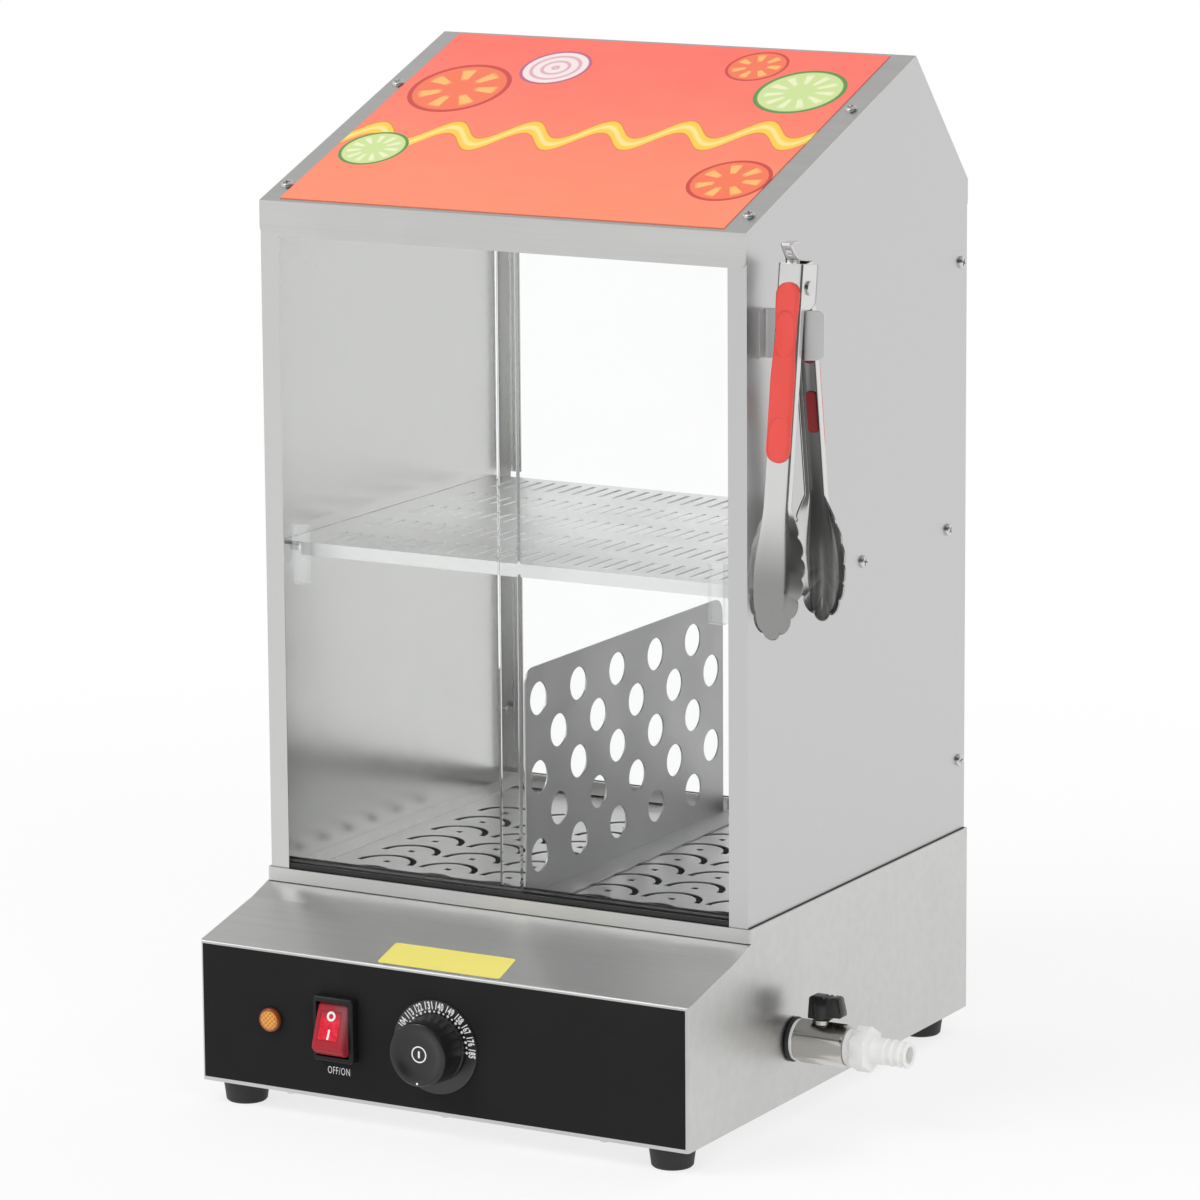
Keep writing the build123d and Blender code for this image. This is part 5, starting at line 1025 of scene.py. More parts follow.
@dataclass
class ControlPanel:
    """Dial print, knob, rocker, lamp lens, switch print and the blank sticker above them."""

    scale_values: tuple[int, ...] = (104, 113, 122, 131, 140, 149, 158, 167, 176, 185)
    scale_start: float = 150.0
    scale_end: float = -2.0
    number_radius: float = 25.3
    number_size: tuple[float, float] = (5.3, 4.9)
    dot_radius: float = 21.7
    large_dot: float = 0.85
    small_dot: float = 0.62
    off_dot_turn: float = 12.0
    knob_dish: float = 18.52
    knob_rim: float = 21.02
    rocker_radius: float = 16.4
    rocker_face: float = 7.7
    rocker_half: float = 11.0
    hollow_depth: float = 0.9
    hollow_radius: float = 62.0
    words_size: tuple[float, float] = (15.4, 4.5)
    words_place: tuple[float, float, float] = (-69.8, -78.1, -89.2)
    sticker: tuple[tuple[float, float], ...] = ((-46.0, 28.9), (37.0, 28.9), (39.5, 3.6), (-44.5, 3.4))
    slope: float = 13.41
    slope_foot: tuple[float, float, float] = (0.0, -77.7, -20.6)

    def build(self) -> None:
        """Build every piece of the panel."""
        build(self.dial_print(), "dial_print", "machine", PRINT_WHITE)
        build(self.knob(), "knob_turned", "knob", KNOB_BLACK, ("control_knob",), sharp=24)
        build(self.knob_print(), "knob_print", "knob", PRINT_WHITE)
        build(self.rocker(), "rocker_moulded", "rocker", ROCKER_RED, ("switch_rocker",),
              sharp=40)
        build(self.rocker_print(), "rocker_print", "rocker", PRINT_WHITE)
        build(self.lens(), "lamp_lens_faceted", "machine", AMBER, ("lamp_lens",), sharp=35)
        build(self.switch_print(), "switch_print", "machine", PRINT_WHITE)
        build(self.blank_sticker(), "blank_sticker", "machine", STICKER, sharp=60)
        softened("switch_housing", "machine", PLASTIC, 0.45, 3)

    @staticmethod
    def on_dial(shell: Shell, radius: float, degrees: float) -> Shell:
        """A flat mark set on the dial at a radius and an angle, its top turned outwards."""
        lean = math.radians(degrees - 90)
        c, s = math.cos(lean), math.sin(lean)
        turned = shell.turned(np.array([[c, s, 0], [-s, c, 0], [0, 0, 1]]))
        angle = math.radians(degrees)
        x, y, z = DIAL_AXIS
        return turned.placed((x + radius * math.cos(angle), y, z + radius * math.sin(angle)), Way.FRONT)

    def dial_print(self) -> Shell:
        """Numbers along an arc with a large dot under each and a small one between them."""
        angles = np.linspace(self.scale_start, self.scale_end, len(self.scale_values))
        small = disc(self.small_dot)
        marks = [
            self.on_dial(lettering(str(value), *self.number_size), self.number_radius, angle)
            for value, angle in zip(self.scale_values, angles)
        ]
        marks += [self.on_dial(disc(self.large_dot), self.dot_radius, angle) for angle in angles]
        marks += [self.on_dial(small, self.dot_radius, angle) for angle in (angles[1:] + angles[:-1]) / 2]
        marks.append(self.on_dial(small, self.number_radius + 0.2, self.scale_start + self.off_dot_turn))
        return joined(marks)

    def knob(self) -> Shell:
        """Turned knob: low skirt, slightly drawn-in side, round front edge and soft dish, with a pointer."""
        profile = np.array([
            (0, 0.4), (20.3, 0.4), (20.7, 0.8), (20.7, 2.2), (20.4, 2.7), (20.1, 3.1), (20.0, 3.8),
            (19.75, 10.0), (19.45, 17.5), (19.3, 19.4), (19.0, 20.3), (18.5, 20.8), (17.9, self.knob_rim),
            (16.8, self.knob_rim), (15.8, 20.85), (14.6, 20.4), (13.0, 19.75), (11.0, 19.1), (9.0, 18.7),
            (7.0, self.knob_dish), (3.5, 18.5), (0, 18.5),
        ])
        outline = np.array([(-0.25, -22.4), (0.25, -22.4), (2.0, -19.6), (-2.0, -19.6)])
        return (lathe(profile, 112) + prism(outline, 2.4, 4.6, 0.3)).placed(DIAL_AXIS, Way.FRONT)

    def knob_print(self) -> Shell:
        """White ring with a short bar in the dish, an index dot on the rim and the pointer's line."""
        x, y, z = DIAL_AXIS
        bar = prism(rounded_box(0.65, 2.2, 0.65), 0, PRINT)
        dish = (hoop(4.25, 5.1) + bar).placed((x, y - self.knob_dish, z), Way.FRONT)
        index = disc(0.75).placed((x, y - self.knob_rim - 0.01, z - 17.2), Way.FRONT)
        line = prism(rounded_box(0.35, 1.0, 0.3), 0, PRINT).placed((x, y - 4.62, z - 20.9), Way.FRONT)
        return dish + index + line

    @staticmethod
    def rocker_frame(shell: Shell) -> Shell:
        """A shell in the rocker's own x, y and z, set in its resting place."""
        return shell.turned(tilt_matrix(ROCKER_TILT), ROCKER_AXIS)

    def face_depth(self, height: np.ndarray) -> np.ndarray:
        """Depth of the finger hollow: its depth less the square of the height over twice its radius."""
        return np.maximum(0.0, self.hollow_depth - height**2 / (2 * self.hollow_radius))

    def rocker(self) -> Shell:
        """Rounded block: rows of rounded rectangles from its back to its face, then a hollowed face.

        At a place y from the axis the half height is half the chord of a disc about it, and near the face
        the rows are drawn in along a quarter circle.
        """
        rows = []
        sides = [(1.5, 0), (0.0, 0), (-3.0, 0), (-5.4, 0)]
        for y, draw in sides + [(-6.5, 0.12), (-7.1, 0.4), (-7.5, 0.85), (-self.rocker_face, 1.5)]:
            half_z = math.sqrt(self.rocker_radius**2 - y**2) - draw
            outline = rounded_box(self.rocker_half - draw, half_z, max(0.9, 2.6 - draw * 0.5), 8)
            rows.append(np.column_stack([outline[:, 0], np.full(len(outline), y), outline[:, 1]]))
        last = rows[-1]
        for share in (0.9, 0.75, 0.55, 0.35, 0.15):
            inner = last * np.array([share, 1.0, share])
            inner[:, 1] = -self.rocker_face + self.face_depth(inner[:, 2])
            rows.append(inner)
        return self.rocker_frame(grid_shell(np.stack(rows), round_v=True, caps=True))

    def rocker_print(self) -> Shell:
        """Ring above and bar below the axis, laid on the hollow face."""
        def laid(shell: Shell, height: float) -> Shell:
            """Move a flat mark to a height on the face."""
            points = shell.points @ Way.FRONT.matrix() + np.array([-0.6, 0, height])
            points[:, 1] += -self.rocker_face + self.face_depth(points[:, 2]) - 0.02
            return Shell(points, shell.faces)

        bar = prism(rounded_box(0.68, 3.05, 0.2), 0, PRINT)
        return self.rocker_frame(laid(hoop(1.55, 3.0, 48), 6.4) + laid(bar, -4.6))

    def lens(self) -> Shell:
        """Low round lens with a raised rim."""
        profile = np.array([
            (0, 0), (7.4, 0), (7.4, 1.0), (7.25, 1.7), (6.9, 2.3), (6.5, 2.6), (6.2, 2.6), (6.0, 2.4),
            (5.8, 2.4), (5.4, 2.65), (4.0, 2.95), (2.0, 3.1), (0, 3.15),
        ])
        return lathe(profile, 64).placed(LAMP_AXIS, Way.FRONT)

    def switch_print(self) -> Shell:
        """The switch's two words in narrow capitals."""
        return lettering("OFF/ON", *self.words_size, -0.004).placed(self.words_place, Way.FRONT)

    def blank_sticker(self) -> Shell:
        """Plain sticker on the slope: a rounded four-sided outline, laid on the sheet."""
        outline = softened_line(self.sticker[::-1], 2.0, 4, closed=True)
        return prism(outline, 0.02, 0.14).turned(tilt_matrix(self.slope), self.slope_foot)


# ---------------------------------------------------------------- drain valve


@dataclass
class DrainValve:
    """Hexagon body, lever, washers and the nylon hose tail, along x on the right side."""

    y: float = 53.0
    z: float = -70.5
    ball_x: float = 187.05
    body_start: float = 172.05
    body_end: float = 205.05
    across: float = 24.0
    stub_start: float = 136.95
    thread_pitch: float = 1.8
    lever_foot: float = -55.2
    lever_top: float = -41.2
    nut_across: float = 25.0
    ridges: int = 3
    ridge_pitch: float = 14.8 / 3

    def build(self) -> None:
        """Build every piece of the valve."""
        build(self.body(), "valve_body_turned", "machine", NICKEL, ("valve_body",), sharp=25)
        build(self.handle(), "valve_lever", "valve_spindle", LEVER_BLACK, ("valve_handle",),
              sharp=38)
        build(self.tail(), "hose_tail", "machine", NYLON, ("hose_barb",), sharp=32)
        softened("valve_gasket", "machine", RUBBER, 0.5, 3)
        softened("valve_washer", "machine", NYLON, 0.3, 2)

    def hexagon(self, profile: np.ndarray, across: float, segments: int = 96) -> Shell:
        """A turned bar whose middle is cut to a hexagon by its own flats."""
        share = flats(across, profile[:, 0], segments)
        return lathe(profile, segments, share)

    def along(self, shell: Shell, x: float) -> Shell:
        """A shell turned to face right at a place along the valve's axis."""
        return shell.placed((x, self.y, self.z), Way.RIGHT)

    def body(self) -> Shell:
        """Chamfered hexagon bar with its threaded stub behind, open bores and the stem's boss on top."""
        long = self.body_end - self.body_start
        corner = self.across / 2 / math.cos(TURN / 12) - 0.3
        bar = np.array([
            (4.5, 0), (12.3, 0), (corner, 1.3), (corner, long - 1.3), (12.3, long), (8.0, long),
            (8.0, long - 7.9), (4.5, long - 7.9), (4.5, 0),
        ])
        stub_long = self.body_start - self.stub_start
        rows = [(4.5, 0), (9.2, 0), (9.9, 0.8)]
        for i in range(int((stub_long - 3.2) / self.thread_pitch)):
            start = i * self.thread_pitch
            rows += [(10.4, 1.4 + start), (9.5, 2.3 + start)]
        rows += [(10.4, stub_long - 0.4), (10.4, stub_long), (4.5, stub_long)]
        boss = np.array([(3.06, 0), (5.0, 0), (5.0, 2.5), (4.6, 3.0), (3.06, 3.0)])
        shell = self.along(self.hexagon(bar, self.across), self.body_start)
        shell = shell + self.along(lathe(np.array(rows, dtype=float), 64), self.stub_start)
        top = self.z + self.across / 2
        return shell + lathe(boss, 40).placed((self.ball_x, self.y, top - 0.05), Way.UP)

    def handle(self) -> Shell:
        """Lever: an outline in x and z carried across y, narrowing to the top, over a round hub.

        At a share t of the height the half width is 5 less 0.7 t, and the outline is drawn in at both sides
        by a small round.
        """
        foot, top = self.lever_foot, self.lever_top
        x_low, x_high = self.ball_x - 8.0, self.ball_x + 13.9
        side = [(x_low, foot), (x_low + 14.2, foot), (x_low + 14.8, foot + 2.0), (x_high, foot + 2.2)]
        side += [(x_high, foot + 4.6), (x_high - 1.9, top - 0.6), (x_high - 3.4, top)]
        for groove in (x_low + 15.2, x_low + 11.8):
            side += [(groove, top), (groove - 0.6, top - 0.9), (groove - 1.6, top - 0.9), (groove - 2.2, top)]
        side += [(x_low + 2.6, top), (x_low + 0.7, top - 1.2)]
        outline = softened_line(side, 0.8, 3, closed=True)
        rows = []
        for y, draw in [(-5.0, 0.9), (-4.75, 0.35), (-4.2, 0.0), (4.2, 0.0), (4.75, 0.35), (5.0, 0.9)]:
            centre = outline.mean(axis=0)
            share = 1 - draw / 9.0
            line = centre + (outline - centre) * share
            lift = np.clip((line[:, 1] - foot) / (top - foot), 0, 1)
            rows.append(np.column_stack([line[:, 0], self.y + y * (1 - 0.14 * lift), line[:, 1]]))
        lever = grid_shell(np.stack(rows[::-1]), round_v=True, caps=True)
        hub = np.array([(0, 0), (6.3, 0), (6.5, 0.3), (6.5, 12.0), (6.0, 12.8), (0, 12.8)])
        return lever + lathe(hub, 48).placed((self.ball_x, self.y, foot), Way.UP)

    def tail(self) -> Shell:
        """Nylon tail: spigot, round collar, hexagon, plain tube, three shallow ridges and an open bore."""
        start = self.body_end
        collar = np.array([
            (5.0, -7.7), (7.7, -7.7), (7.9, -7.3), (7.9, 0.02), (10.9, 0.02), (11.2, 0.4), (11.2, 4.6),
            (10.9, 5.0), (5.0, 5.0), (5.0, -7.7),
        ])
        corner = self.nut_across / 2 / math.cos(TURN / 12) - 0.25
        nut = np.array([
            (5.0, 4.9), (12.2, 4.9), (corner, 5.7), (corner, 14.3), (12.4, 15.0), (5.0, 15.0), (5.0, 4.9),
        ])
        rows = [(5.0, 14.9), (8.6, 14.9), (8.1, 15.4), (8.0, 16.2), (8.0, 24.6)]
        for i in range(self.ridges):
            crest = 25.0 + i * self.ridge_pitch
            after = crest + self.ridge_pitch
            rows += [(8.0, crest), (7.45, crest + 0.75), (7.3, crest + 1.3), (7.45, crest + 2.0)]
            rows += [(7.9, after - 1.2), (8.0, after - 0.7)]
        rows += [(7.6, 39.7), (7.2, 39.8), (5.6, 39.8), (5.1, 39.4), (5.0, 38.8), (5.0, -7.7)]
        shell = self.along(lathe(collar, 64), start)
        shell = shell + self.along(self.hexagon(nut, self.nut_across), start)
        return shell + self.along(lathe(np.array(rows), 64), start)


# ---------------------------------------------------------------- tongs


@dataclass(frozen=True)
class Hollow:
    """Oval press mark in a grip.

    Args:
        depth: its middle below the pivot.
        width_share: its half width over the grip's.
        step: height of the short smooth step at its edge.
        bowl: depth of the bowl of 1 - q^2 inside the step, where q runs from 0 to 1.
        half_length: half its length along the grip.
    """

    depth: float
    width_share: float
    step: float
    bowl: float
    half_length: float = 14.0

    def at(self, across: np.ndarray, z: np.ndarray) -> np.ndarray:
        """Depth of the mark at places across, in half widths of the grip, and up."""
        along = (z + self.depth) / self.half_length
        q = (np.abs(across / self.width_share) ** 2.5 + np.abs(along) ** 2.5) ** 0.4
        t = np.clip((1 - q) / 0.1, 0, 1)
        return self.step * t * t * (3 - 2 * t) + self.bowl * np.clip(1 - q**2, 0, 1)


@dataclass
class Tongs:
    """Two pressed arms with their scoops, soft grips with hollows over their backs, and the locking tab.

    Depths are measured down from the pivot, and y from it, with each arm's back at -y.
    """

    pivot: tuple[float, float, float] = (185.5, 23.0, 386.3)
    tilt: float = 8.0
    wall: float = 0.95
    back: float = 9.8
    foot: float = -4.3
    cheek_radius: float = 12.6
    flare_start: float = 127.0
    widest: float = 163.0
    spine_end: float = 192.5
    scoop_end: float = 203.5
    scoop_half: float = 18.3
    scoop_rim: float = -2.4
    crease_half: float = 10.4
    curl: float = 5.6
    bend_cut: float = 0.9
    crease_cut: float = 2.5
    lobe_pitch: float = 12.4
    lobe_notch: float = 2.2
    lobe_round: float = 0.92
    lobe_rise: float = 0.717
    lobe_start: float = 137.0
    grip_thickness: float = 3.0
    grip_top: float = 3.0
    grip_length: float = 104.4
    hollows: tuple[Hollow, ...] = (Hollow(27.0, 0.92, 1.15, 1.0), Hollow(88.5, 0.9, 0.8, 0.15))
    tabs: tuple[tuple[float, float], ...] = ((40.0, 48.0), (65.0, 90.0))
    tab_low: tuple[float, float] = (-5.6, 17.0)
    tab_high: tuple[float, float] = (-13.6, 26.6)
    tab_half: float = 4.1
    tab_hole: float = 2.2
    tab_wall: float = 0.9

    def build(self) -> None:
        """Build both arms, their grips and tabs, the pull tab and the holder."""
        arms = (("front", -1, 16.0, 9.8, 7.6, ARM_FRONT), ("rear", 1, 13.4, 4.4, 5.7, ARM_REAR))
        for name, side, width, cheek, _, finish in arms:
            build(self.arm(side, width, cheek), name + "_arm_pressed", "tongs_" + name, finish,
                  (f"tongs_{name}_arm",), sharp=50, wall=self.wall)
        for name, side, _, _, half, _ in arms:
            build(self.grip(side, half), name + "_grip_moulded", "tongs_" + name, CORAL,
                  (f"tongs_{name}_grip",), sharp=50)
        for name, side, *_ in arms:
            # the tabs are the grip's coral with painted shade
            build(self.grip_tabs(side), name + "_grip_tabs", "tongs_" + name, CORAL_SHADED)
        build(self.pull_tab(), "pull_tab_bent", "tongs_tab", LIT_STEEL, ("tongs_pull_tab",),
              wall=self.tab_wall)
        softened("tongs_holder", "machine", LIT_STEEL, 0.2, 2)

    def arm(self, side: int, width: float, cheek: float) -> Shell:
        """Middle surface of one arm: pivot cheeks, straight channel and a creased scoop with a lobed edge.

        Each row is a polyline in three dimensions from the spine over a bend to the edge, with the bend
        rounded by a parabola, and its mirror image.

        Args:
            side: -1 for the front arm, 1 for the rear.
            width: width of the channel.
            cheek: reach of the cheeks past the pivot's axis.

        Returns:
            The open sheet, hung in its place.
        """
        half, back = width / 2 - 0.5, -self.back + 0.5
        p = np.linspace(0, 1, 66)
        meet = np.clip(p / 0.85, 0, 1) ** 2
        parts = [self.channel_rows(half, back, cheek), self.flare_rows(half, back)]
        parts.append(self.tip_rows(p, meet, back))
        rows = np.vstack([part[0] for part in parts])
        cut = np.concatenate([part[1] for part in parts])
        merge = np.concatenate([np.zeros(len(rows) - len(p)), meet])
        return self.hung(self.bent_sheet(self.lobed(rows, merge[:, None]), cut), side)

    @staticmethod
    def rows(x: Sequence, y: Sequence, depth: Sequence) -> np.ndarray:
        """Points (row, place, coordinate) from the values at spine, bend and edge."""
        values = np.stack(np.broadcast_arrays(*x, *y, *depth), axis=1)
        return values.reshape(-1, 3, 3).transpose(0, 2, 1)

    def channel_rows(self, half: float, back: float, cheek: float) -> tuple[np.ndarray, np.ndarray]:
        """Rows of the cheeks and the channel: the flange's reach near the pivot follows a circle."""
        near = [-13.7, -13.2, -9, -4, 0, 3, 6, 8, 9.5, 10.6, 11.4, 12.0, 12.4, 12.6, 12.9, 13.4, 14.5]
        down = np.concatenate([near, np.linspace(20, 125, 15)])
        circle = np.sqrt(np.maximum(self.cheek_radius**2 - np.maximum(down, 0) ** 2, 0))
        flange = np.minimum(cheek, np.maximum(circle, self.foot))
        flange = np.where(down <= self.cheek_radius, flange, self.foot)
        rows = self.rows((0.0, half, half), (back, back, flange), (down, down, down))
        step = near.index(12.9)
        rows[step, 2, 1] = (self.foot + rows[step - 1, 2, 1]) / 2
        return rows, np.full_like(down, self.bend_cut)

    def flare_rows(self, half: float, back: float) -> tuple[np.ndarray, np.ndarray]:
        """Rows of the scoop down to its widest place: the half width grows with a quarter sine."""
        t = np.linspace(0, 1, 42)[:-1]
        edge = half + (self.scoop_half - half) * np.sin(t * math.pi / 2)
        crease = half + (self.crease_half - half) * t**1.4
        depth = self.flare_start + (self.widest - self.flare_start) * t
        lean = self.foot + (self.scoop_rim - self.foot) * t**1.2
        rows = self.rows((0.0, crease, edge), (back, back, lean), (depth, depth, depth))
        return rows, self.bend_cut + (self.crease_cut - self.bend_cut) * t

    def tip_rows(self, p: np.ndarray, meet: np.ndarray, back: float) -> tuple[np.ndarray, np.ndarray]:
        """Rows past the widest place.

        The edge follows a quarter ellipse while the spine runs to the tip, and the bend runs out to meet
        the edge as `meet` grows from 0 to 1. The sheet curls up by its place down the scoop.
        """
        edge = self.scoop_half * np.cos(p * math.pi / 2)
        tip = self.widest + (self.scoop_end - self.widest) * np.sin(p * math.pi / 2)
        spine = self.widest + (self.spine_end - self.widest) * p
        share = self.crease_half / self.scoop_half
        share = share + (0.98 - share) * meet
        depth = np.stack([spine, spine + (tip - spine) * share, tip], 1)
        run = np.clip((depth - self.widest) / (self.scoop_end - self.widest), 0, 1)
        lift = back + self.curl * run**2.4
        lift[:, 2] = self.scoop_rim + (lift[:, 2] + 0.8 - self.scoop_rim) * meet
        return self.rows((0.0, edge * share, edge), lift.T, depth.T), self.crease_cut - 1.9 * p

    def lobed(self, rows: np.ndarray, merge: np.ndarray) -> np.ndarray:
        """Draw the edge in by round lobes, each an arc of the length along the edge.

        The edge moves along the wall, and by the share of merge towards the spine, with its bend.
        """
        run = rows[:, 2, [0, 2]]
        length = np.concatenate([[0], np.cumsum(np.linalg.norm(np.diff(run, axis=0), axis=1))])
        phase = ((length[-1] - length) / self.lobe_pitch + 0.5) % 1.0
        arc = (1 - np.sqrt(1 - self.lobe_round * (2 * phase - 1) ** 2)) / self.lobe_rise
        notch = self.lobe_notch * arc * np.clip((run[:, 1] - self.lobe_start) / 6.0, 0, 1)
        inwards = (rows[:, 1] - rows[:, 2]) * (1 - merge) + (rows[:, 0] - rows[:, 2]) * merge
        inwards *= (notch / (np.linalg.norm(inwards, axis=1) + 1e-9))[:, None]
        rows = rows.copy()
        rows[:, 2] += inwards
        rows[:, 1] += inwards * merge
        return rows

    @staticmethod
    def bent_sheet(rows: np.ndarray, cut: np.ndarray) -> Shell:
        """Sheet over the rows and their mirror image, each bend a parabola that starts `cut` from it."""
        start, bend, stop = rows[:, 0:1], rows[:, 1:2], rows[:, 2:3]
        before = np.linalg.norm(bend - start, axis=2, keepdims=True) + 1e-9
        after = np.linalg.norm(stop - bend, axis=2, keepdims=True) + 1e-9
        reach = np.minimum(cut[:, None, None], np.minimum(before, after) * 0.45)
        leave = bend + (start - bend) / before * reach
        land = bend + (stop - bend) / after * reach
        a, b, c = (np.linspace(0, 1, steps)[None, :, None] for steps in (5, 6, 9))
        b = b[:, 1:-1]
        curve = (1 - b) ** 2 * leave + 2 * b * (1 - b) * bend + b**2 * land
        right = np.concatenate([start + (leave - start) * a, curve, land + (stop - land) * c], axis=1)
        left = right[:, :0:-1] * np.array([-1, 1, 1])
        return grid_shell(np.concatenate([left, right], axis=1) * np.array([1, 1, -1]))

    def hung(self, shell: Shell, side: int) -> Shell:
        """A shell of the front arm, with its back at -y, set on the front or the rear arm."""
        mirrored = Shell(shell.points * np.array([1, -side, 1]), shell.faces)
        return mirrored.turned(tilt_matrix(self.tilt * side), self.pivot)

    def grip(self, side: int, half: float) -> Shell:
        """Moulded pad over the arm's back with a long thumb hollow and a shallow one near its foot.

        The outline is a slot whose half width is drawn in by a bell round the thumb. A point at the share s
        from the spine to the outline is raised by the thickness times the fourth root of 1 - s^6, less the
        hollows.
        """
        high, low = self.grip_top - half, self.grip_top - self.grip_length + half
        around = np.linspace(0, math.pi, 15)
        run = np.linspace(high, low, 182)[1:-1]
        side_x = np.full(len(run), half)
        x = np.concatenate([half * np.cos(around), -side_x, -half * np.cos(around), side_x])
        z = np.concatenate([high + half * np.sin(around), run, low - half * np.sin(around), run[::-1]])
        spine = np.clip(z, low, high)
        thumb = self.hollows[0].depth + 2
        waist = 1 - 0.13 * np.exp(-(((z + thumb) / 17.0) ** 2)) + 0.02 * np.exp(-(((z + 60) / 16.0) ** 2))
        x = np.clip(x * waist, -half, half)
        rows = []
        for share in [*np.linspace(0.0, 0.82, 20), 0.86, 0.91, 0.95, 0.98, 1.0]:
            px = x * share
            pz = spine + (z - spine) * share
            rise = self.grip_thickness * (1 - share**6) ** 0.25
            rise = rise - sum(hollow.at(px / half, pz) for hollow in self.hollows)
            rows.append(np.column_stack([px, -self.back - np.maximum(rise, 0.0 if share == 1 else 0.4), pz]))
        rim = rows[-1].copy()
        rim[:, 1] = -self.back
        shell = grid_shell(np.stack(rows + [rim]), round_v=True, caps=True)
        shell.faces.pop(-2)  # the first row is the spine itself and needs no cap
        return self.hung(shell, side)

    def grip_tabs(self, side: int) -> Shell:
        """The pad's tabs that come through the arm's slots."""
        shells = []
        for top, bottom in self.tabs:
            tab = prism(rounded_box(3.4, (bottom - top) / 2, 2.4), 0.0, 2.0, 0.3)
            inwards = np.array([[1, 0, 0], [0, 0, 1], [0, 1, 0]])
            shells.append(tab.turned(inwards, (0, -self.back, -(top + bottom) / 2)))
        return self.hung(joined(shells), side)

    def pull_tab(self) -> Shell:
        """Locking tab: a straight strip, a plate leaning forward round a hole, and a lip turned back.

        The plate runs from the hole's circle to its rectangle, each point on a ray from the hole's middle.
        """
        low, high = np.array(self.tab_low), np.array(self.tab_high)
        lean, middle = high - low, (low + high) / 2
        wide, tall = self.tab_half, np.linalg.norm(lean) / 2
        corners = np.arctan2([tall, tall, -tall, -tall], [wide, -wide, wide, -wide])
        angles = np.sort(np.concatenate([np.linspace(-math.pi, math.pi, 40, endpoint=False), corners]))
        c, s = np.cos(angles), np.sin(angles)
        reach = 1 / np.maximum(np.abs(c) / wide, np.abs(s) / tall)
        radius = self.tab_hole + (reach - self.tab_hole) * np.linspace(0, 1, 5)[:, None]
        w = radius * s / tall
        x = radius * c * (1 - 0.1 * (w + 1))
        plate = np.stack([x, middle[0] + lean[0] * w / 2, middle[1] + lean[1] * w / 2], -1)
        shell = grid_shell(plate, round_v=True)
        across = np.stack([np.linspace(-1, 1, 7), np.ones(7), np.ones(7)], -1)
        foot = [(4.3, low[0], z) for z in (-9.0, 0.0, 9.0, low[1])]
        lip = [(3.3, y, z) for y, z in (tuple(high), (-9.0, 26.7), (-4.0, 26.6), (-1.0, 26.5))]
        for line in (foot, lip):
            shell = shell + grid_shell(np.array(line)[:, None] * across)
        return Shell(shell.points + np.array(self.pivot), shell.faces)


# ---------------------------------------------------------------- cabinet trim


@dataclass
class CabinetTrim:
    """Screw heads, and softened copies of the tracks, pulls and gland."""

    side_face: float = 165.0
    side_screws: tuple[tuple[float, float], ...] = (
        (31.3, 202.5), (147.3, 202.5), (263.3, 202.5), (280.0, 53.4), (280.0, 367.0),
    )
    roof_screws: tuple[tuple[float, float], ...] = ((157.0, 20.0), (157.0, 158.0))

    def build(self) -> None:
        """Build the screws, then the softened copies."""
        build(self.screws(), "cabinet_screw_heads", "machine", BRIGHT, ("cabinet_screws",),
              sharp=40)
        for node in ("lower_door_track", "upper_door_track"):
            softened(node, "machine", TRACK, 0.25, 2)
        softened("left_door_pull", "left_door", ACRYLIC, 0.5, 3)
        softened("right_door_pull", "right_door", ACRYLIC, 0.5, 3)
        softened("cable_gland", "machine", PLASTIC, 0.4, 2)

    @staticmethod
    def head(turn: float) -> Shell:
        """Pan head with a cross recess.

        The profile's height is the dome's, and within 2.45 mm of the axis it falls by 1.2 mm where the
        distance to the nearer arm of the cross is less than about half a millimetre.

        Args:
            turn: angle of the cross in radians.

        Returns:
            The closed head with a short shank under it.
        """
        dome = [
            (0.001, 2.2), (0.3, 2.2), (0.6, 2.2), (0.9, 2.2), (1.2, 2.2), (1.5, 2.19), (1.8, 2.18),
            (2.1, 2.15), (2.3, 2.12), (2.5, 2.08), (2.9, 1.95), (3.3, 1.7), (3.6, 1.35), (3.75, 0.9),
            (3.8, 0.4),
        ]
        shank = [(3.8, 0.0), (1.9, 0.0), (1.9, -4.8), (0.001, -4.8)]
        angles = np.arange(72) * TURN / 72
        r, h = (np.array(dome + shank)[:, column, None] * np.ones_like(angles) for column in (0, 1))
        x, y = r * np.cos(angles), r * np.sin(angles)
        arm = np.minimum(np.abs(r * np.sin(angles - turn)), np.abs(r * np.cos(angles - turn)))
        cut = np.clip((0.62 - arm) / 0.22, 0, 1) * np.clip((2.45 - r) / 0.3, 0, 1)
        cut[len(dome):] = 0
        return grid_shell(np.stack([x, y, h - 1.2 * cut], -1), round_v=True, caps=True)

    def screws(self) -> Shell:
        """Five heads on each side and two along each edge of the roof's slope."""
        heads = []
        for i, (y, z) in enumerate(self.side_screws):
            heads.append(self.head(0.3 + i).placed((self.side_face, y, z), Way.RIGHT))
            heads.append(self.head(0.7 + i).placed((-self.side_face, y, z), Way.LEFT))
        angle = math.radians(ROOF_SLOPE)
        for i, (x, along) in enumerate(self.roof_screws):
            y = along * math.cos(angle) - math.sin(angle)
            z = ROOF_FRONT + along * math.sin(angle) + math.cos(angle)
            for sign in (-1, 1):
                heads.append(self.head(0.5 + i).turned(tilt_matrix(ROOF_SLOPE), (sign * x, y, z)))
        return joined(heads)


# ---------------------------------------------------------------- studio


@dataclass(frozen=True)
class Patch:
    """Round part of the surroundings that gloss sees at another level.

    Args:
        toward: direction of its middle.
        rim: cosine of the angle at which it starts.
        full: cosine of the angle at which it has its level.
        level: brightness there.
    """

    toward: tuple[float, float, float]
    rim: float
    full: float
    level: float


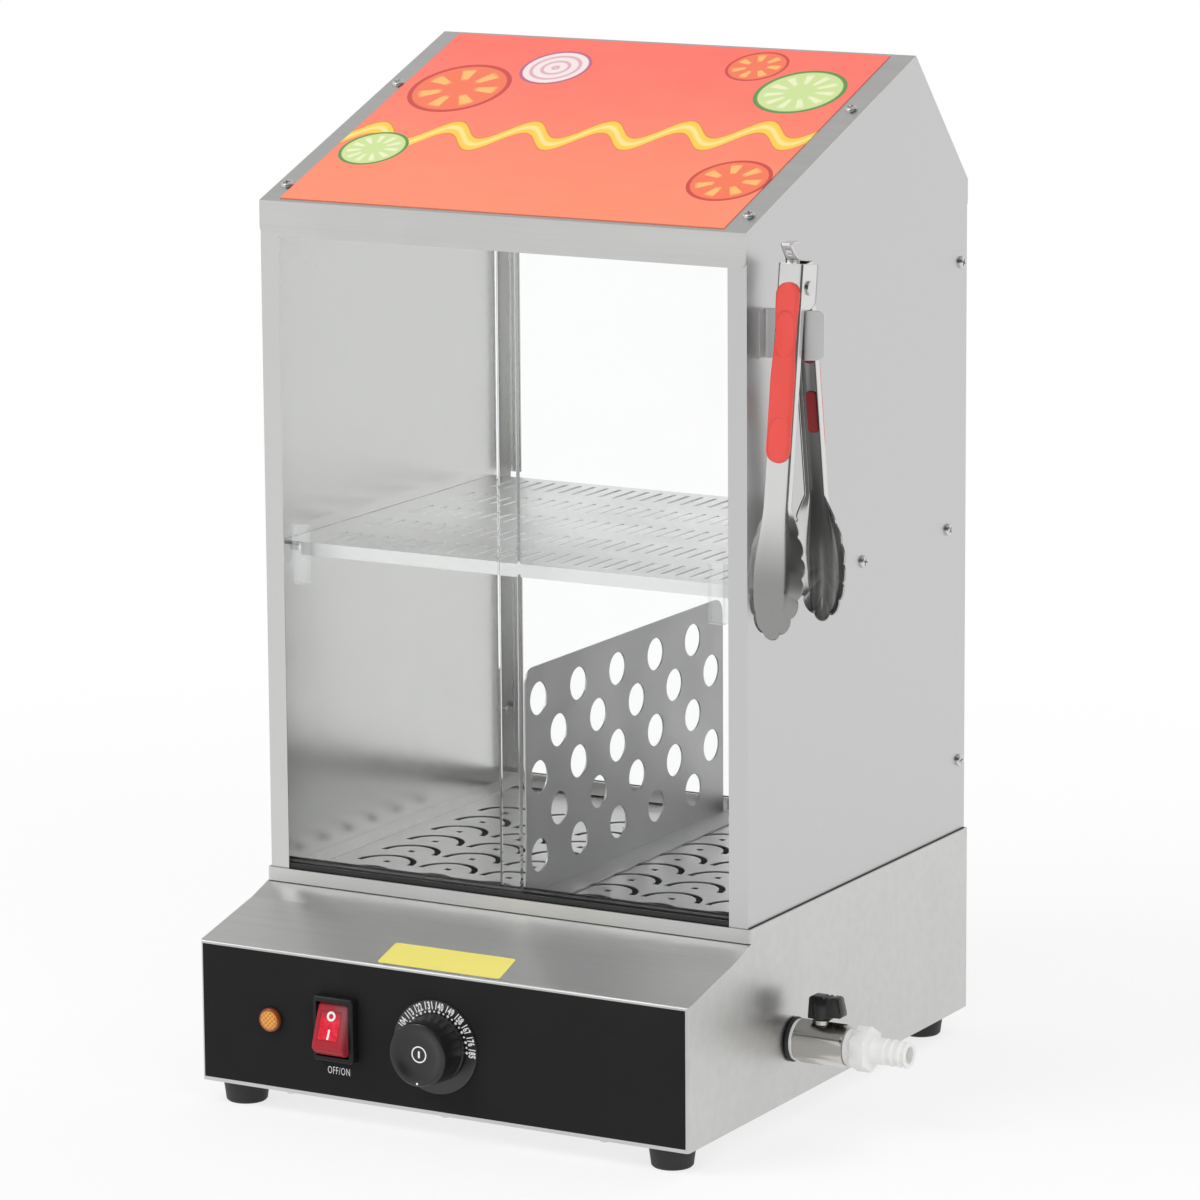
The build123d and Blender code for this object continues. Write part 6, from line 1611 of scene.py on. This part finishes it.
@dataclass
class Studio:
    """Floor, soft lamps, pale surroundings and the camera; the lamps' places and sizes are in metres."""

    floor_size: float = 7.0
    lamps: tuple[tuple[str, tuple[float, float, float], float, float], ...] = (
        ("key", (-1.3, -1.6, 2.3), 1.6, 30.0), ("fill", (2.2, -1.4, 1.5), 1.8, 17.0),
        ("back", (0.4, 2.0, 1.9), 1.4, 12.0),
    )
    aim: tuple[float, float, float] = (0.0, 0.0, 0.3)
    flags: tuple[Patch, ...] = (
        Patch((0.482, -0.855, 0.19), 0.62, 0.86, 0.10), Patch((0.985, -0.02, 0.17), 0.80, 0.93, 0.12),
    )
    glow: Patch = Patch((-0.482, -0.33, 0.81), 0.955, 0.985, 2.0)
    camera_place: tuple[float, float, float] = (1732.8, -2947.4, 876.5)
    azimuth: float = 29.4
    elevation: float = 11.08
    roll: float = -0.0065
    focal: float = 176.41
    shift: tuple[float, float] = (-0.00598, -0.0243)

    def build(self) -> None:
        """Set the whole studio up."""
        self.floor()
        self.world()
        for lamp in self.lamps:
            self.lamp(*lamp)
        self.camera()
        bpy.context.scene.view_settings.view_transform = "Standard"

    def floor(self) -> None:
        """A pale floor that the camera, gloss and glass see nearly white, with its shadow kept."""
        half = self.floor_size / 2
        mesh = bpy.data.meshes.new("studio_floor")
        corners = [(-half, -half, 0), (half, -half, 0), (half, half, 0), (-half, half, 0)]
        mesh.from_pydata(corners, [], [(0, 1, 2, 3)])
        floor = make_object("studio_floor", mesh)
        material = bpy.data.materials.new("studio_floor")
        material.use_nodes = True
        g = Graph(material.node_tree)
        shader = g.tree.nodes["Principled BSDF"]
        g.fill(shader, Base_Color=(0.97, 0.97, 0.97), Roughness=0.9, Specular_IOR_Level=0.1)
        path = g.node("ShaderNodeLightPath").outputs
        seen = g.plus(path["Is Camera Ray"], path["Is Glossy Ray"])
        seen = g.clamped(g.plus(seen, path["Is Transmission Ray"]))
        glow = g.wired("ShaderNodeEmission", (1.0, 1.0, 1.0), 1.0)
        paper = g.ramp(g.vector("LENGTH", g.where()), 0.5, 1.4, 0.74, 1.0)
        g.surface(g.times(seen, paper), shader.outputs[0], glow.outputs[0])
        floor.data.materials.append(material)

    def world(self) -> None:
        """White to the camera, a bright horizon and a darker top to gloss, and a soft even fill."""
        world = bpy.data.worlds.new("studio_world")
        bpy.context.scene.world = world
        world.use_nodes = True
        g = Graph(world.node_tree)
        path = g.node("ShaderNodeLightPath").outputs
        direction = g.node("ShaderNodeTexCoord").outputs["Generated"]
        _, _, z = g.split(direction)
        streak = g.noise(g.place(direction, turn=(0.5, 0.6, 0.2), stretch=(1.2, 7.0, 2.0)), 1.6)
        lighter = g.times(g.ramp(streak, 0.5, 0.7), g.ramp(z, 0.3, 0.6, 0.0, 0.35))
        level = g.plus(g.ramp(z, 0.05, 0.75, 1.0, 0.55), lighter)
        for flag in self.flags:
            near = g.vector("DOT_PRODUCT", direction, flag.toward)
            level = g.times(level, g.ramp(near, flag.rim, flag.full, 1.0, flag.level))
        near = g.vector("DOT_PRODUCT", direction, self.glow.toward)
        level = g.plus(level, g.ramp(near, self.glow.rim, self.glow.full, 0.0, self.glow.level))
        white = g.clamped(g.plus(path["Is Camera Ray"], path["Is Transmission Ray"]))
        colour = g.mix(path["Is Glossy Ray"], (0.62, 0.62, 0.62), g.combine(level, level, level))
        colour = g.mix(white, colour, (1.0, 1.0, 1.0))
        g.fill(g.tree.nodes["Background"], Color=colour, Strength=1.0)

    def lamp(self, name: str, place: Sequence[float], size: float, power: float) -> None:
        """A square soft lamp aimed at the machine, left out of reflections."""
        data = bpy.data.lights.new(name, "AREA")
        data.size = size
        data.energy = power
        lamp = bpy.data.objects.new(name, data)
        lamp.location = place
        lamp.visible_glossy = False
        lamp.rotation_euler = (Vector(self.aim) - Vector(place)).to_track_quat("-Z", "Y").to_euler()
        bpy.context.scene.collection.objects.link(lamp)

    def camera(self) -> None:
        """A long lens from the right front, above the roof's height."""
        data = bpy.data.cameras.new("camera")
        data.sensor_width = 36.0
        data.lens = self.focal
        data.shift_x, data.shift_y = self.shift
        data.clip_start = 0.1
        data.clip_end = 50.0
        camera = bpy.data.objects.new("camera", data)
        tilt = math.radians(90 - self.elevation)
        turn = Matrix.Rotation(math.radians(self.azimuth), 4, "Z") @ Matrix.Rotation(tilt, 4, "X")
        turn = turn @ Matrix.Rotation(self.roll, 4, "Z")
        camera.matrix_world = Matrix.Translation(DATUM.vector(*self.camera_place)) @ turn
        bpy.context.scene.collection.objects.link(camera)
        bpy.context.scene.camera = camera


def main() -> None:
    """Dress the model and set the studio up."""
    logging.basicConfig(level=logging.INFO, format="%(name)s %(message)s")
    dress_nodes()
    for assembly in (CabinetTrim(), ControlPanel(), DrainValve(), Tongs()):
        assembly.build()
        log.info("built: %s", type(assembly).__name__)
    Studio().build()


if __name__ == "__main__":
    main()
